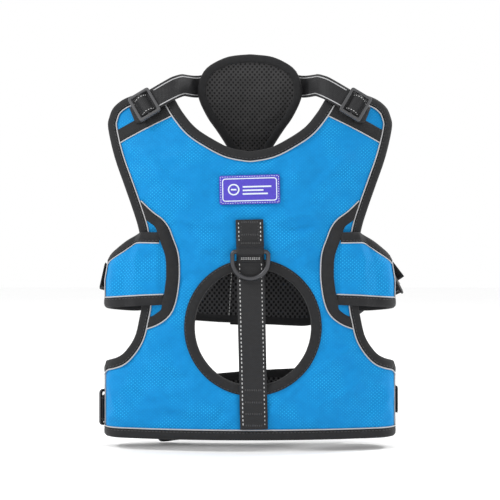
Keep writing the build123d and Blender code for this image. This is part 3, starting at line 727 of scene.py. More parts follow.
def ribbon(name, centre, width, thick, sides=(1, -1), mat="webbing", body="vest", h=1.0, rib=0.07, edge=0.35, wdirs=None, dashes=None, dash_kw=None):
    """Webbing along a 3-D line in mm. wdirs gives the width direction at each point."""
    c = np.array(centre, float)
    wd = np.array(wdirs, float)
    d = np.concatenate([[0], np.cumsum(np.linalg.norm(np.diff(c, axis=0), axis=1))])
    m = max(int(d[-1] / h), 4)
    t = np.linspace(0, d[-1], m + 1)
    C = np.stack([np.interp(t, d, c[:, k]) for k in range(3)], 1)
    W = np.stack([np.interp(t, d, wd[:, k]) for k in range(3)], 1)
    ker = np.array([1, 2, 3, 2, 1.0]) / 9
    if m > 8:
        pad = np.vstack([2 * C[0] - C[2:0:-1], C, 2 * C[-1] - C[-2:-4:-1]])
        C2 = np.stack([np.convolve(pad[:, k], ker, "valid") for k in range(3)], 1)
        C2[0], C2[-1] = C[0], C[-1]
        C = C2
    W /= np.linalg.norm(W, axis=1)[:, None]
    tg = np.gradient(C, axis=0)
    tg /= np.linalg.norm(tg, axis=1)[:, None]
    W = W - tg * (W * tg).sum(1)[:, None]
    W /= np.linalg.norm(W, axis=1)[:, None]
    Nn = np.cross(tg, W)
    hw, ht = width / 2, thick / 2
    prof = []
    for f in np.linspace(-1, 1, 13):
        e = max(0.0, abs(f) - 0.9) / 0.1
        prof.append((f * hw, ht * (1 - 0.55 * e)))
    top = prof
    bot = [(x, -y) for x, y in prof[::-1]]
    loop = top + bot
    k = len(loop)
    V, UV = [], []
    for x, y in loop:
        mid = abs(x) < hw * 0.88
        r_ = rib * np.sin(2 * math.pi * t / 1.25) * np.sign(y) * (1 if mid else 0.4)
        V.append(C + W * x + Nn * (y + r_[:, None]) if np.ndim(r_) else C + W * x + Nn * y)
        UV.append(np.stack([t, np.full_like(t, x)], 1))
    V = np.stack(V, 1).reshape(-1, 3)
    V[:, 2] -= Z0
    UV = np.stack(UV, 1).reshape(-1, 2)
    faces = []
    for i in range(m):
        for j in range(k):
            j2 = (j + 1) % k
            faces.append((i * k + j, i * k + j2, (i + 1) * k + j2, (i + 1) * k + j))
    faces.append(tuple(range(k))[::-1])
    faces.append(tuple(m * k + j for j in range(k)))
    ob = add_mesh(name, V * 0.001, faces, UV, mat, body)
    fix_normals(ob)
    if dashes:
        kw = dict(length=2.3, pitch=3.2, width=0.8, high=0.5)
        kw.update(dash_kw or {})

        def fmap(s, w, n):
            s, w, n = np.asarray(s), np.asarray(w), np.asarray(n)
            CC = np.stack([np.interp(s, t, C[:, q]) for q in range(3)], -1)
            WW = np.stack([np.interp(s, t, W[:, q]) for q in range(3)], -1)
            NN = np.stack([np.interp(s, t, Nn[:, q]) for q in range(3)], -1)
            v = CC + WW * w[..., None] + NN * n[..., None]
            v[..., 2] -= Z0
            return v * 0.001

        for q, x in enumerate(dashes):
            for side in sides:
                tag = "o" if side > 0 else "i"
                st = stitches(name + "_stitch%d%s" % (q, tag), [(0.8, x), (t[-1] - 0.8, x)], fmap, side * (ht + 0.08), "pale_thread", body=body, **kw)
                fix_normals(st)
    return ob


# ---------- outlines, as in the CAD ----------
def inset(poly, d):
    p = ccw(poly)
    e = np.roll(p, -1, 0) - p
    e /= np.linalg.norm(e, axis=1)[:, None]
    nrm = np.stack([-e[:, 1], e[:, 0]], 1)
    n0, n1 = np.roll(nrm, 1, 0), nrm
    m = d / (1 + (n0 * n1).sum(1))
    return p + (n0 + n1) * m[:, None]


def rounded(poly, r, k=5):
    """Outline with its corners rounded; r is one radius or one per corner."""
    p = np.array(poly, float)
    n = len(p)
    rr = [r] * n if np.isscalar(r) else r
    out = []
    for i in range(n):
        a, b, c = p[i - 1], p[i], p[(i + 1) % n]
        if rr[i] <= 0:
            out.append(tuple(b))
            continue
        t1, t2 = (a - b), (c - b)
        l1, l2 = np.linalg.norm(t1), np.linalg.norm(t2)
        cut = min(rr[i], l1 * 0.45, l2 * 0.45)
        s, e = b + t1 / l1 * cut, b + t2 / l2 * cut
        for q in range(k + 1):
            t = q / k
            out.append(tuple((1 - t) ** 2 * s + 2 * t * (1 - t) * b + t * t * e))
    return out


def trim_inside(path, poly, h=0.7):
    p = resample(path, h)
    k = inside(poly, p)
    i = np.flatnonzero(k)
    return p[i[0]:i[-1] + 1]


HALF = smooth(
    [
        (0, 262), (17.8, 265.4), (34, 273.6), (50.4, 284.9), (62.6, 300.1), (70.8, 313.4),
        (78.8, 318), (91, 320), (103.4, 317.5), (113.6, 314.3), (120.7, 310.3),
        (126.8, 304.2), (129.9, 295.9), (130.9, 285.8), (124.2, 258.2), (115, 232.4),
        (107.2, 210.4), (101.2, 190.8), (98.5, 170), (98, 145), (98.6, 122.1),
        (100.6, 110.8), (104.2, 95.3), (110.1, 84.6), (118.6, 75.5), (129.9, 70.8),
    ],
    3,
)
FOLD_A = LA + SR * (math.pi / 2 - TH0)
half_a = [(a_front(x, z), z) for x, z in HALF]
half_a[-1] = (a_front(129.9, 70.8), 70.8)
half_a = half_a + [(FOLD_A - 4, 68.0), (FOLD_A + 1.5, 67.0), (FOLD_A + 5.0, 66.6)]
# the upper edge as one line, counter-clockwise: up the right side, over, and down the left
EDGE = np.array(half_a[::-1] + [(-a, z) for a, z in half_a[1:]])
HEM = np.array([(-FOLD_A - 5.0, 0.0), (FOLD_A + 5.0, 0.0)])
PANEL = np.vstack([HEM, EDGE])


def circle(cx, cz, r, k=96, cw=False):
    t = np.linspace(0, 2 * math.pi, k, endpoint=False)
    if cw:
        t = -t
    return np.stack([cx + r * np.cos(t), cz + r * np.sin(t)], 1)


OX, OZ = 2.7, 102.5
ARC = [
    (98.6, 217), (88.1, 206.9), (79.1, 200.3), (73.2, 192.5), (70.2, 184.7), (66, 173.5),
    (64.3, 165.2), (63.8, 153), (64.3, 142.7), (66.8, 126.5), (71.8, 114.2), (81, 106.1),
    (91.3, 101.6), (99, 99.5),
]
ARC = smooth([(a_front(x), z) for x, z in ARC], 3)

# ---------- the back panel ----------
core = inset(resample(PANEL, 3.0, True), 4.0)
pts_near = {"seams": [
    resample(ARC, 3.0), mirror_line(resample(ARC, 3.0)),
    resample([(-27, 213.4), (27, 214.8), (26.5, 241), (-27.5, 239.4), (-27, 213.4)], 3.0),
    resample([(3.6 - 11, 5), (-0.5 - 11, 50)], 3.0), resample([(3.6 + 11, 5), (-0.5 + 13, 50)], 3.0),
    resample([(-12, 156), (-12, 200), (12, 200), (12, 156)], 3.0),
]}


def panel_map(side):
    def f(a, z, n):
        return P(a, z, n)
    return f


FOLDS = [
    (74, 206, 18, 196, 3.4, 1.7), (70, 197, 20, 184, 2.8, -1.2), (66, 188, 24, 171, 3.2, 1.6), (64, 176, 34, 158, 2.8, -1.2), (62, 166, 40, 150, 2.8, 1.2),
    (63, 142, 58, 96, 3.2, 1.1), (104, 90, 62, 60, 3.4, 1.5), (112, 76, 70, 46, 3.0, -1.2), (120, 62, 74, 34, 3.2, 1.2),
    (98, 264, 60, 232, 4.2, 1.5), (84, 256, 38, 216, 4.0, -1.2), (70, 262, 44, 250, 3.4, 1.0), (60, 246, 32, 238, 3.2, 0.9),
    (58, 66, 30, 34, 3.4, 1.2), (96, 46, 46, 20, 3.6, 1.0), (90, 236, 60, 212, 3.2, 1.0),
]


def panel():
    pts, tris, dist, nb = fill(core, [circle(OX, OZ, 57.0)], 2.9)
    seams = np.vstack(pts_near["seams"])
    kd = kdtree.KDTree(len(seams))
    for i, q in enumerate(seams):
        kd.insert((q[0], q[1], 0), i)
    kd.balance()
    ds = np.array([kd.find((q[0], q[1], 0))[2] for q in pts])
    near = np.minimum(np.clip(dist - 5.4, 0, None), ds)
    # flat under the label and the sewn ends of the spine strap
    for flat in ([(-28.5, 212.0), (28.5, 212.5), (28.0, 242.5), (-28.5, 241.0)],
                 [(-12, 155), (12, 155), (12, 201), (-12, 201)],
                 [(-7.4, 3), (14.6, 3), (12.5, 52), (-11.5, 52)]):
        near[inside(ccw(np.array(flat, float)), pts)] = 0.0
    top = np.clip((pts[:, 1] - 258) / 18, 0, 1)
    soft = 1 - top * 0.85
    rise = 0.9 * (1 - np.exp(-near / 8.0)) * soft
    wr = []
    for q in pts:
        a, z = q
        w = noise.noise(Vector((a * 0.030 + 0.028 * z, z * 0.055 - 0.012 * a, 1.7)))
        w2 = noise.noise(Vector((a * 0.09 - 0.05 * z, z * 0.10, 5.2)))
        wr.append(1.0 - 2.2 * abs(w) + 0.35 * w2)
    wr = np.array(wr)
    # long folds that run out from the armholes and across the belly of the panel
    for x0, z0_, x1, z1_, wd_, hi_ in FOLDS:
        for sg in (-1, 1):
            a0, a1 = np.array([sg * x0, z0_], float), np.array([sg * x1, z1_], float)
            dv = a1 - a0
            tt = np.clip(((pts - a0) @ dv) / (dv @ dv), 0, 1)
            cur = a0 + tt[:, None] * dv + np.stack([np.zeros(len(tt)), 3.0 * np.sin(math.pi * tt)], 1) * sg
            dd = np.linalg.norm(pts - cur, axis=1)
            wr = wr + hi_ * np.exp(-(dd / wd_) ** 2) * np.sin(math.pi * np.clip(tt, 0.06, 0.94))
    fade = (1 - np.exp(-near / 9.0)) * soft
    wr = np.clip(wr, -1.6, 2.6)
    outer = P(pts[:, 0], pts[:, 1], 3.0 + rise * 1.3 + 1.6 * wr * fade)
    move = cloth(outer, tris, near < 0.3, 1.2, 0.012, cap=0.0018, bend=0.6)
    move = move * (1 - np.exp(-near / 3.0))[:, None]
    nrm = P(pts[:, 0], pts[:, 1], 5.0) - P(pts[:, 0], pts[:, 1], 4.0)
    nrm /= np.linalg.norm(nrm, axis=1)[:, None]
    al = (move * nrm).sum(1) * soft
    al = np.clip(al, -0.0006, 0.0011)
    outer = outer + nrm * al[:, None]
    m = len(pts)
    mid = P(pts[:, 0], pts[:, 1], 0.05)
    V = np.vstack([outer, mid])
    faces = [t for t in tris] + [(t[0] + m, t[2] + m, t[1] + m) for t in tris]
    faces += [(b, a, a + m, b + m) for a, b in rim_edges(tris)]
    sh = add_mesh("back_panel_knit", V, faces, np.vstack([pts, pts]), "blue_knit", "vest")
    fix_normals(sh)
    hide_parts("back_shell")
    # lining: swells inward between the stitch lines, with the shallow darts near the armholes
    wl = np.array([noise.noise(Vector((q[0] * 0.035, q[1] * 0.045, 12.0))) for q in pts])
    dart = np.zeros(m)
    for s in (-1, 1):
        for x0, z0_, x1, z1_ in ((98, 206, 77, 172), (77, 172, 66, 138), (92, 200, 86, 160)):
            a0, a1 = np.array([s * x0, z0_]), np.array([s * x1, z1_])
            d = a1 - a0
            t = np.clip(((pts - a0) @ d) / (d @ d), 0, 1)
            dd = np.linalg.norm(pts - a0 - t[:, None] * d, axis=1)
            dart = np.maximum(dart, np.exp(-(dd / 2.6) ** 2))
    boxes = np.zeros(m)
    for s in (-1, 1):
        dd = np.linalg.norm(pts - np.array([s * 92.0, 289.0]), axis=1)
        boxes = np.maximum(boxes, np.clip((19.5 - dd) / 3.0, 0, 1))
    n_in = -2.2 - 1.1 * (1 - np.exp(-dist / 7.0)) * (1 + 0.6 * wl) * (1 - boxes) + 1.6 * dart * (1 - np.exp(-dist / 6.0)) + 0.3 * boxes
    inner = P(pts[:, 0], pts[:, 1], n_in)
    V = np.vstack([P(pts[:, 0], pts[:, 1], 0.0), inner])
    li = add_mesh("back_panel_lining", V, faces, np.vstack([pts, pts]), "air_mesh", "vest")
    fix_normals(li)
    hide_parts("back_lining")


panel()


def bind(name, path, fmap, w, n0, n1, closed=False, body="vest", node=None, h=2.2, seed=0.0, stitch=True, fold=None, pucker=0.16):
    ob = strip(name, path, fmap, tape(w, n0, n1), closed, "binding_tape", body, h, pucker, seed)
    fix_normals(ob)
    if node:
        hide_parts(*node)
    if stitch:
        st = stitches(name + "_stitching", shift(resample(path, 1.5, closed), w - 1.5, closed), fmap, n1 + 0.05, "black_thread", 2.4, 3.3, 0.55, 0.4, closed, body)
        fix_normals(st)
    return ob


def pipe(name, path, fmap, d, n, closed=False, body="vest", r=0.62, node=None, h=2.0, flat=1.0, top=None):
    prof = [(r * math.cos(2 * math.pi * i / 10), n + flat * r * math.sin(2 * math.pi * i / 10)) for i in range(10)]
    path = offset_clean(path, d, closed) if d else path
    ob = strip(name, path, fmap, prof, closed, "silver_piping", body, h, 0.06, 3.3, top=top)
    fix_normals(ob)
    if node:
        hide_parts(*node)
    return ob


b1 = bind("panel_edge_binding", EDGE, P, 8.7, -3.4, 4.4, node=["edge_binding"], seed=1.0)
b2 = bind("panel_hem_binding", HEM, P, 8.7, -3.4, 4.4, node=["hem_binding"], seed=5.0)
pipe("panel_edge_piping", EDGE, P, 9.5, 4.05, node=["edge_piping"])
pipe("panel_hem_piping", HEM, P, 9.5, 4.05, node=["hem_piping"])
b3 = bind("round_opening_binding", circle(OX, OZ, 53.0, 140, True), P, 9.2, -3.4, 4.5, True, node=["opening_binding"], seed=9.0)
for s in (1, -1):
    # thin line of piping where the panel meets the fold
    ln = [(s * (FOLD_A - 2.2), 10.5), (s * (FOLD_A - 2.2), 60.0)]
    pipe("fold_piping_low_" + ("right" if s > 0 else "left"), ln, P, 0, 3.75)

# label with a stitched border and a plain ring-and-bars motif
LABEL = [(-27, 213.4), (27, 214.8), (26.5, 241), (-27.5, 239.4)]
lab = layer("label_patch_woven", rounded(LABEL, 1.0), P, 5.05, 4.1, "label_weave", h=1.6, crown=0.25, lam=3, press=0.0, grow=0.0, cap=0.0, ripple=0.12, cover=0.0)
fix_normals(lab)
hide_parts("label_patch")
border = rounded(inset(LABEL, 3.0), 2.5)
ob = strip("label_border", border, P, [(0.5 * math.cos(t), 5.35 + 0.35 * math.sin(t)) for t in np.linspace(0, 2 * math.pi, 8, endpoint=False)], True, "label_thread", h=1.0, pucker=0.05)
fix_normals(ob)
ob = stitches("label_border_stitching", inset(LABEL, 1.2), P, 5.3, "label_thread", 1.5, 2.2, 0.5, 0.35, True)
fix_normals(ob)
mot = circle(-14.5, 227, 4.6, 30)
ob = strip("label_motif_ring", mot, P, [(0.7 * math.cos(t), 5.4 + 0.35 * math.sin(t)) for t in np.linspace(0, 2 * math.pi, 8, endpoint=False)], True, "label_thread", h=0.8, pucker=0.05)
fix_normals(ob)
for k, (x0, z0_, x1, z1_) in enumerate(((-6.5, 229.5, 19, 230.2), (-6.5, 226.3, 12, 226.8), (-6.5, 223.1, 16, 223.7), (-17, 227, -12, 227))):
    ob = strip("label_motif_bar%d" % k, [(x0, z0_), (x1, z1_)], P, [(0.75 * math.cos(t), 5.4 + 0.35 * math.sin(t)) for t in np.linspace(0, 2 * math.pi, 8, endpoint=False)], False, "label_thread", h=0.8, pucker=0.05)
    fix_normals(ob)


def mm(v):
    v = np.array(v, float) * 1000.0
    v[..., 2] += Z0
    return v


def bar_tack(name, fmap, x0, x1, z, n, mat="black_thread", body="vest", rows=3, gap=0.8):
    for r in range(rows):
        ob = stitches("%s_row%d" % (name, r), [(x0, z + r * gap), (x1, z + r * gap)], fmap, n, mat, 1.7, 1.95, 0.8, 0.55, False, body)
        fix_normals(ob)


# spine strap; it stands free where it crosses the round opening
t = np.linspace(0, 1, 90)
sx = 3.6 + (-0.5 - 3.6) * t
sz = 10.6 + (200.0 - 10.6) * t
hang = np.clip((sz - 45) / (158 - 45), 0, 1)
bow = 1.6 * np.sin(math.pi * hang) ** 2
cen = mm(P(sx, sz, 5.3 + bow))
wd = np.repeat([[1.0, 0.0, 0.0217]], len(t), 0)
sp = ribbon("spine_strap_webbing", cen, 25.0, 1.5, wdirs=wd, dashes=None)
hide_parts("spine_strap")


def on_strap(dn):
    def f(x, z, n):
        x, z = np.asarray(x, float), np.asarray(z, float)
        h_ = np.clip((z - 45) / (158 - 45), 0, 1)
        return P(x + 3.6 - 4.1 * (z - 10.6) / 189.4, z, n + 1.6 * np.sin(math.pi * h_) ** 2)
    return f


SM = on_strap(0)
for s in (1, -1):
    ob = stitches("spine_dashes_" + ("right" if s > 0 else "left"), [(s * 9.7, 12), (s * 9.7, 198.5)], SM, 6.15, "pale_thread", 2.5, 3.7, 1.0, 0.5)
    fix_normals(ob)
for z in (197.3, 186, 176, 45.5, 34.5, 24, 13.5):
    bar_tack("spine_tack_%d" % int(z), SM, -8.6, 8.6, z, 6.1, rows=2)
for s in (1, -1):
    ob = stitches("spine_side_stitch_" + ("r" if s > 0 else "l"), [(s * 7.6, 168), (s * 7.6, 197)], SM, 6.1, "black_thread", 2.0, 2.6, 0.6, 0.4)
    fix_normals(ob)

# loop of webbing over the ring's bar
KX, RY, RZ = 0.25, -49.3, 171.0
sy0 = float(mm(P(0.25, 171.0, 6.1))[1])
loop = [(sy0 + 0.1, 161.5), (sy0 - 0.5, 163.5), (sy0 - 1.3, 166.3), (RY - 1.9, 168.4), (RY - 2.85, 170.2), (RY - 2.85, 171.8), (RY - 1.9, 173.6), (sy0 - 1.3, 175.6), (sy0 - 0.5, 178.3), (sy0 + 0.1, 180.5)]
loop = smooth(loop, 5)
kp = ribbon("ring_keeper_loop", [(KX, y, z) for y, z in loop], 24.6, 1.1, wdirs=np.repeat([[1.0, 0, 0]], len(loop), 0), h=0.6)
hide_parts("ring_keeper")


def KM(x, z, n):
    x, z, n = np.broadcast_arrays(np.asarray(x, float), np.asarray(z, float), np.asarray(n, float))
    lz = np.array([q[1] for q in loop])
    ly = np.array([q[0] for q in loop])
    y = np.interp(z, lz, ly) - n
    return np.stack([x + KX, y, z - Z0], -1) * 0.001


bar_tack("keeper_stitch_bar", KM, -9.5, 9.5, 164.3, 0.65, "pale_thread", rows=2, gap=1.2)
bar_tack("keeper_upper_tack", KM, -9.5, 9.5, 178.2, 0.65, "black_thread", rows=2)

# ---------- armhole trims and shoulder bands ----------
clip = inset(resample(PANEL, 3.0, True), 5.0)


def under_binding(q):
    """Highest n at which a tape still runs under the panel's edge binding."""
    d = line_dist(q, EDGE)
    ins = inside(PANEL, q)
    return np.where(ins, 3.25 + np.clip(d - 9.3, 0, None) * 1.6, 2.9)


def MIR(fmap):
    return lambda a, z, n: fmap(-np.asarray(a, float), z, n)


for side, fm in (("right", P), ("left", MIR(P))):
    path = trim_inside(ARC, clip)
    low_ = [(0.3, 3.4), (0.1, 4.4), (0.8, 5.1), (2.8, 5.4), (5.6, 5.4), (7.8, 5.3), (8.6, 5.1), (9.0, 4.6), (9.0, 4.2), (8.9, 3.8), (8.4, 3.4), (4.5, 3.3)]
    high_ = [(0.3, 3.4), (0.1, 4.4), (0.8, 5.5), (2.8, 7.0), (5.6, 8.3), (8.4, 8.9), (10.0, 8.9), (10.7, 8.3), (10.3, 7.6), (9.0, 7.0), (8.4, 3.4), (4.5, 3.3)]
    tr = strip("armhole_trim_tape_" + side, path, fm, low_, False, "binding_tape", h=2.0, pucker=0.15, seed=2.2,
               top=under_binding, other=high_, weight=lambda p: np.clip((p[:, 1] - 112) / 10, 0, 1) * np.clip((202 - p[:, 1]) / 11, 0, 1))
    fix_normals(tr)
    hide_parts("armhole_trim_" + side)
    pp = pipe("armhole_piping_" + side, path, fm, -0.5, 4.45, top=lambda q: under_binding(q) + 0.3)
    # shoulder band on the tab
    sb = [(62, 301), (70.5, 296.5), (95.3, 284.8), (122, 271.2), (131, 266)]
    path = trim_inside(smooth(sb, 4), inset(resample(PANEL, 3.0, True), 5.0))
    ob = strip("shoulder_band_tape_" + side, path, fm, [(0, 3.1), (0.1, 4.1), (0.8, 4.45), (3.5, 4.5), (7.5, 4.5), (10.6, 4.45), (11.3, 4.1), (11.4, 3.1), (5.5, 3.0)], False, "binding_tape", h=2.0, pucker=0.1, seed=4.0, top=under_binding)
    fix_normals(ob)
    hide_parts("shoulder_band_" + side)
    pipe("shoulder_band_piping_" + side, path, fm, -0.6, 3.9, top=lambda q: under_binding(q) + 0.3)

# ---------- upper wings ----------
LIFT_A = [0, 80, 83.5, 103.5, 116]
LIFT_N = [3.55, 3.55, 5.2, 5.2, 0.2]


def W(a, z, n):
    a, z, n = np.broadcast_arrays(np.asarray(a, float), np.asarray(z, float), np.asarray(n, float))
    lift = np.interp(np.abs(a), LIFT_A, LIFT_N)
    return P(a, z, n + lift, taper=1.0)


arc_in = shift(ARC, 8.2)
arc_in = [tuple(q) for q in arc_in if 124 < q[1] < 187.5]      # runs downward
bottom = [(arc_in[-1][0] + 0.8, 122.6), (99.3, 121.6), (128.9, 119.5), (FOLD_A, 118.8)]
top = [(FOLD_A + 0.0, 167.0), (133, 175.5), (122, 184.2), (109, 188.6), (arc_in[0][0] + 1.0, 188.6)]
rear_low = [(FOLD_A, 118.8), (162.2, 116.5), (179.1, 115), (191.5, 116.2), (199.0, 120.8), (202.1, 130), (200.6, 142), (195.8, 156), (189.6, 169.5), (184.6, 177), (178.6, 181.6), (171.5, 181.6), (161.0, 176.6), (152, 171.3), (FOLD_A, 167.0)]


def clip_line(poly, lim, keep_less):
    """The closed outline cut off at a = lim."""
    p = [tuple(q) for q in poly]
    out = []
    n = len(p)
    for i in range(n):
        a, b = p[i], p[(i + 1) % n]
        ina = (a[0] <= lim) == keep_less
        inb = (b[0] <= lim) == keep_less
        if ina:
            out.append(a)
        if ina != inb:
            t = (lim - a[0]) / (b[0] - a[0])
            out.append((lim, a[1] + t * (b[1] - a[1])))
    return out


rim_low = smooth(bottom, 4)
rim_rear = smooth(rear_low, 4)
rim_top = smooth(top, 4)
RIM = np.vstack([rim_low, rim_rear[1:], rim_top[1:]])        # counter-clockwise, open at the armhole trim
WHOLE = np.vstack([RIM, arc_in[1:-1]])
bars_in = inset(resample(RIM, 3.0, False), 0.0) if False else None

for side, fm in (("right", W), ("left", MIR(W))):
    body_poly = resample(WHOLE, 2.5, True)
    # inset only where there is a binding: push the rim inward by 4
    rim_in = shift(resample(RIM, 2.5), 4.0)
    ring_ = np.vstack([rim_in, np.array(arc_in[2:-2])])
    front = clip_line(ring_, FOLD_A - 4.0, True)
    rear = clip_line(ring_, FOLD_A + 9.0, False)
    fr = layer("upper_wing_knit_" + side, front, fm, 3.5, 0.0, "blue_knit", h=2.8, crown=1.5, lam=7, press=2.2, grow=0.015, cap=0.0022, ripple=0.5)
    fix_normals(fr)
    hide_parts("upper_wing_" + side)
    rr_ = layer("upper_girth_knit_" + side, rear, fm, 3.5, 0.0, "blue_knit", h=2.8, crown=1.3, lam=7, press=2.2, grow=0.015, cap=0.002, ripple=0.4, back_mat="air_mesh")
    fix_normals(rr_)
    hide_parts("upper_girth_pad_" + side)
    ob = bind("upper_wing_binding_tape_" + side, RIM, fm, 9.0, -0.4, 4.6, seed=11.0)
    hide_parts("upper_wing_binding_" + side)
    pipe("upper_wing_piping_" + side, RIM, fm, 9.7, 4.1)
    # strip round the fold
    zt = float(np.interp(FOLD_A - 6, [133, FOLD_A], [175.5, 167.0])) - 3
    prof = [(d, 4.4 + 0.15 * math.sin(d)) for d in np.linspace(0, 16, 9)] + [(d, 0.1) for d in np.linspace(16, 0, 9)]
    ob = strip("upper_fold_strip_" + side, [(FOLD_A - 5.5, zt), (FOLD_A - 5.5, 122.0)], fm, prof, False, "binding_tape", pucker=0.15)
    fix_normals(ob)
    pipe("upper_fold_piping_" + side, [(FOLD_A - 6.0, zt - 6.0), (FOLD_A - 6.0, 128.9)], fm, 0, 4.35)
    pipe("upper_fold_piping_rear_" + side, [(FOLD_A + 11.5, 162.5), (FOLD_A + 11.5, 127.5)], fm, 0, 4.2)

# ---------- lower girth pads ----------
for side, fm, x0, ztop in (("right", P, 62.5, 72.0), ("left", MIR(P), 77.0, 71.5)):
    ae = a_rear(x0)
    if side == "right":
        rear = [(FOLD_A - 1.5, 0.4), (ae, 0.6), (ae, 57), (a_rear(68), 66), (a_rear(80), 71.5), (a_rear(100), 72), (FOLD_A + 4, 67.2), (FOLD_A - 1.5, 66.5)]
    else:
        rear = [(FOLD_A - 1.5, 0.4), (ae, 0.6), (ae, 59), (a_rear(82), 67), (a_rear(93), 71), (a_rear(104), 71.5), (FOLD_A + 4, 67.2), (FOLD_A - 1.5, 66.5)]
    outline = rounded(rear, [0, 7, 5, 5, 6, 8, 4, 0])
    line = resample(np.array(outline), 2.0)
    inner = shift(line, 4.0)
    poly = clip_line(inner, FOLD_A + 4.0, False)
    ob = layer("lower_girth_knit_" + side, poly, fm, 3.9, 0.3, "blue_knit", h=2.8, crown=1.4, lam=7, press=2.2, grow=0.012, cap=0.002, ripple=0.4, back_mat="air_mesh")
    fix_normals(ob)
    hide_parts("lower_girth_pad_" + side)
    ob = bind("lower_girth_binding_tape_" + side, line, fm, 9.0, -0.8, 4.9, seed=17.0)
    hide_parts("lower_girth_binding_" + side)
    pipe("lower_girth_piping_" + side, line, fm, 9.7, 4.5)
    prof = [(d, 4.7 + 0.12 * math.sin(d)) for d in np.linspace(0, 11, 7)] + [(d, 0.2) for d in np.linspace(11, 0, 7)]
    ob = strip("lower_fold_strip_" + side, [(FOLD_A - 1.0, 63.5), (FOLD_A - 1.0, 4.0)], fm, prof, False, "binding_tape", pucker=0.15)
    fix_normals(ob)
    pipe("lower_fold_piping_" + side, [(FOLD_A + 10.2, 58.5), (FOLD_A + 10.2, 10.0)], fm, 0, 4.6)

# ---------- throat pad ----------
PAD_HALF = [
    (0, 354.8), (12, 353.8), (21.8, 352), (34, 346.5), (43, 339), (48, 327), (48, 314),
    (40, 297), (32, 285.8), (22, 270.5), (17, 259), (15.5, 252.5), (10, 250), (0, 250),
]
half = smooth(PAD_HALF, 3)
TP = ccw(np.array([tuple(q) for q in half] + [(-x, z) for x, z in half[1:-1]][::-1]))


def TB(u, z, n):
    """The same map as T."""
    return T(u, z, n)


mesh = layer("throat_pad_mesh", inset(resample(TP, 2.5, True), 4.0), lambda u, z, n: T(-np.asarray(u), z, -np.asarray(n)), 2.8, 0.0, "air_mesh_fine", h=3.0, crown=2.6, lam=14, press=1.5, grow=0.01, cap=0.002, ripple=0.4)
fix_normals(mesh)
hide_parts("throat_mesh")
cover = layer("throat_pad_cover", inset(resample(TP, 2.5, True), 4.0), T, 2.2, 0.0, "binding_tape", h=3.0, crown=0.7, lam=9, press=0.8, grow=0.0, cap=0.0006, ripple=0.2)
fix_normals(cover)
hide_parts("throat_cover")
TRAP = [(-9.4, 347), (-24, 324), (-36, 298), (-29, 284), (29, 284), (36, 298), (24, 324), (9.4, 347)]
trap = layer("throat_pad_panel", rounded(TRAP, 3.0), T, 4.0, 2.6, "blue_knit", h=2.6, crown=1.3, lam=9, press=1.5, grow=0.01, cap=0.0015, ripple=0.3, cover=0.8)
fix_normals(trap)
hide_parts("throat_panel")
pipe("throat_panel_piping", rounded(TRAP, 3.0), T, 0.4, 4.1, True, r=0.75)
ob = bind("throat_pad_binding", TP, T, 7.6, -4.2, 3.6, True, seed=21.0)
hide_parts("throat_binding")
ob = strip("throat_pad_hem_tape", [(-17.5, 272), (17.5, 272)], T, [(0, 3.2), (0, 4.2), (0.6, 4.6), (8.4, 4.6), (9, 4.2), (9, 3.2)], False, "binding_tape", pucker=0.12)
fix_normals(ob)

# ---------- throat strap ----------
WEBN = 8.2 + 0.7
tp = [(pad_y(279) + 4.6, 279), (pad_y(268) + 5.2, 268), (33.4, 256), (32.6, 250), (32.6, 240), (31.4, 228), (31.0, 205), (31.0, 150), (31.0, 101)]
tp = smooth(tp, 5)


def throat_x(z):
    return 2.0 + (z - 280) * (2.0 + 6.9) / 185.0


cen = [(throat_x(z), y + 0.15, z) for y, z in tp]
wdirs = np.repeat([[1.0, 0, -0.048]], len(cen), 0)
ob = ribbon("throat_strap_webbing", cen, 25.0, 1.4, wdirs=wdirs, dashes=(-9.2, 9.2))
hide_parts("throat_strap")


def THM(x, z, n):
    """On the throat strap: x from its middle line, z, and how far off its belly face."""
    x, z, n = np.broadcast_arrays(np.asarray(x, float), np.asarray(z, float), np.asarray(n, float))
    zz = np.array([q[1] for q in tp])[::-1]
    yy = np.array([q[0] for q in tp])[::-1]
    return np.stack([throat_x(z) + x, np.interp(z, zz, yy) + 0.15 + n, z - Z0], -1) * 0.001


for k, z in enumerate((268.5, 275.5)):
    bar_tack("throat_strap_tack%d" % k, THM, -10, 10, z, 0.95, "black_thread", rows=2)
for s in (-1, 1):
    ob = stitches("throat_pad_tack_%s" % ("a" if s < 0 else "b"), [(s * 13.2, 262.5), (s * 18.0, 269.5)], lambda u, z, n: T(-np.asarray(u), z, n), 4.3, "pale_thread", 2.0, 2.4, 0.9, 0.5)
    fix_normals(ob)
for s in (-1, 1):
    bar_tack("throat_strap_end_%s" % ("a" if s < 0 else "b"), THM, s * 8 - 3.5, s * 8 + 3.5, 103.0, 0.95, "pale_thread", rows=1)

# ---------- chest and belly pads ----------
CHEST = [
    (62, 146), (52, 154.5), (12.6, 159.4), (-52, 160.5), (-83.5, 156.3), (-92, 141.6),
    (-92, 121), (-75, 107), (-31, 104), (52, 100), (62, 102),
]
BELLY = [
    (64.7, 58), (50, 60.5), (0, 58), (-83.5, 50.5), (-88.5, -10.5), (-47.6, -5.5),
    (0, -1.2), (64.7, 4),
]


def flipu(poly):
    return ccw([(-x, z) for x, z in poly])


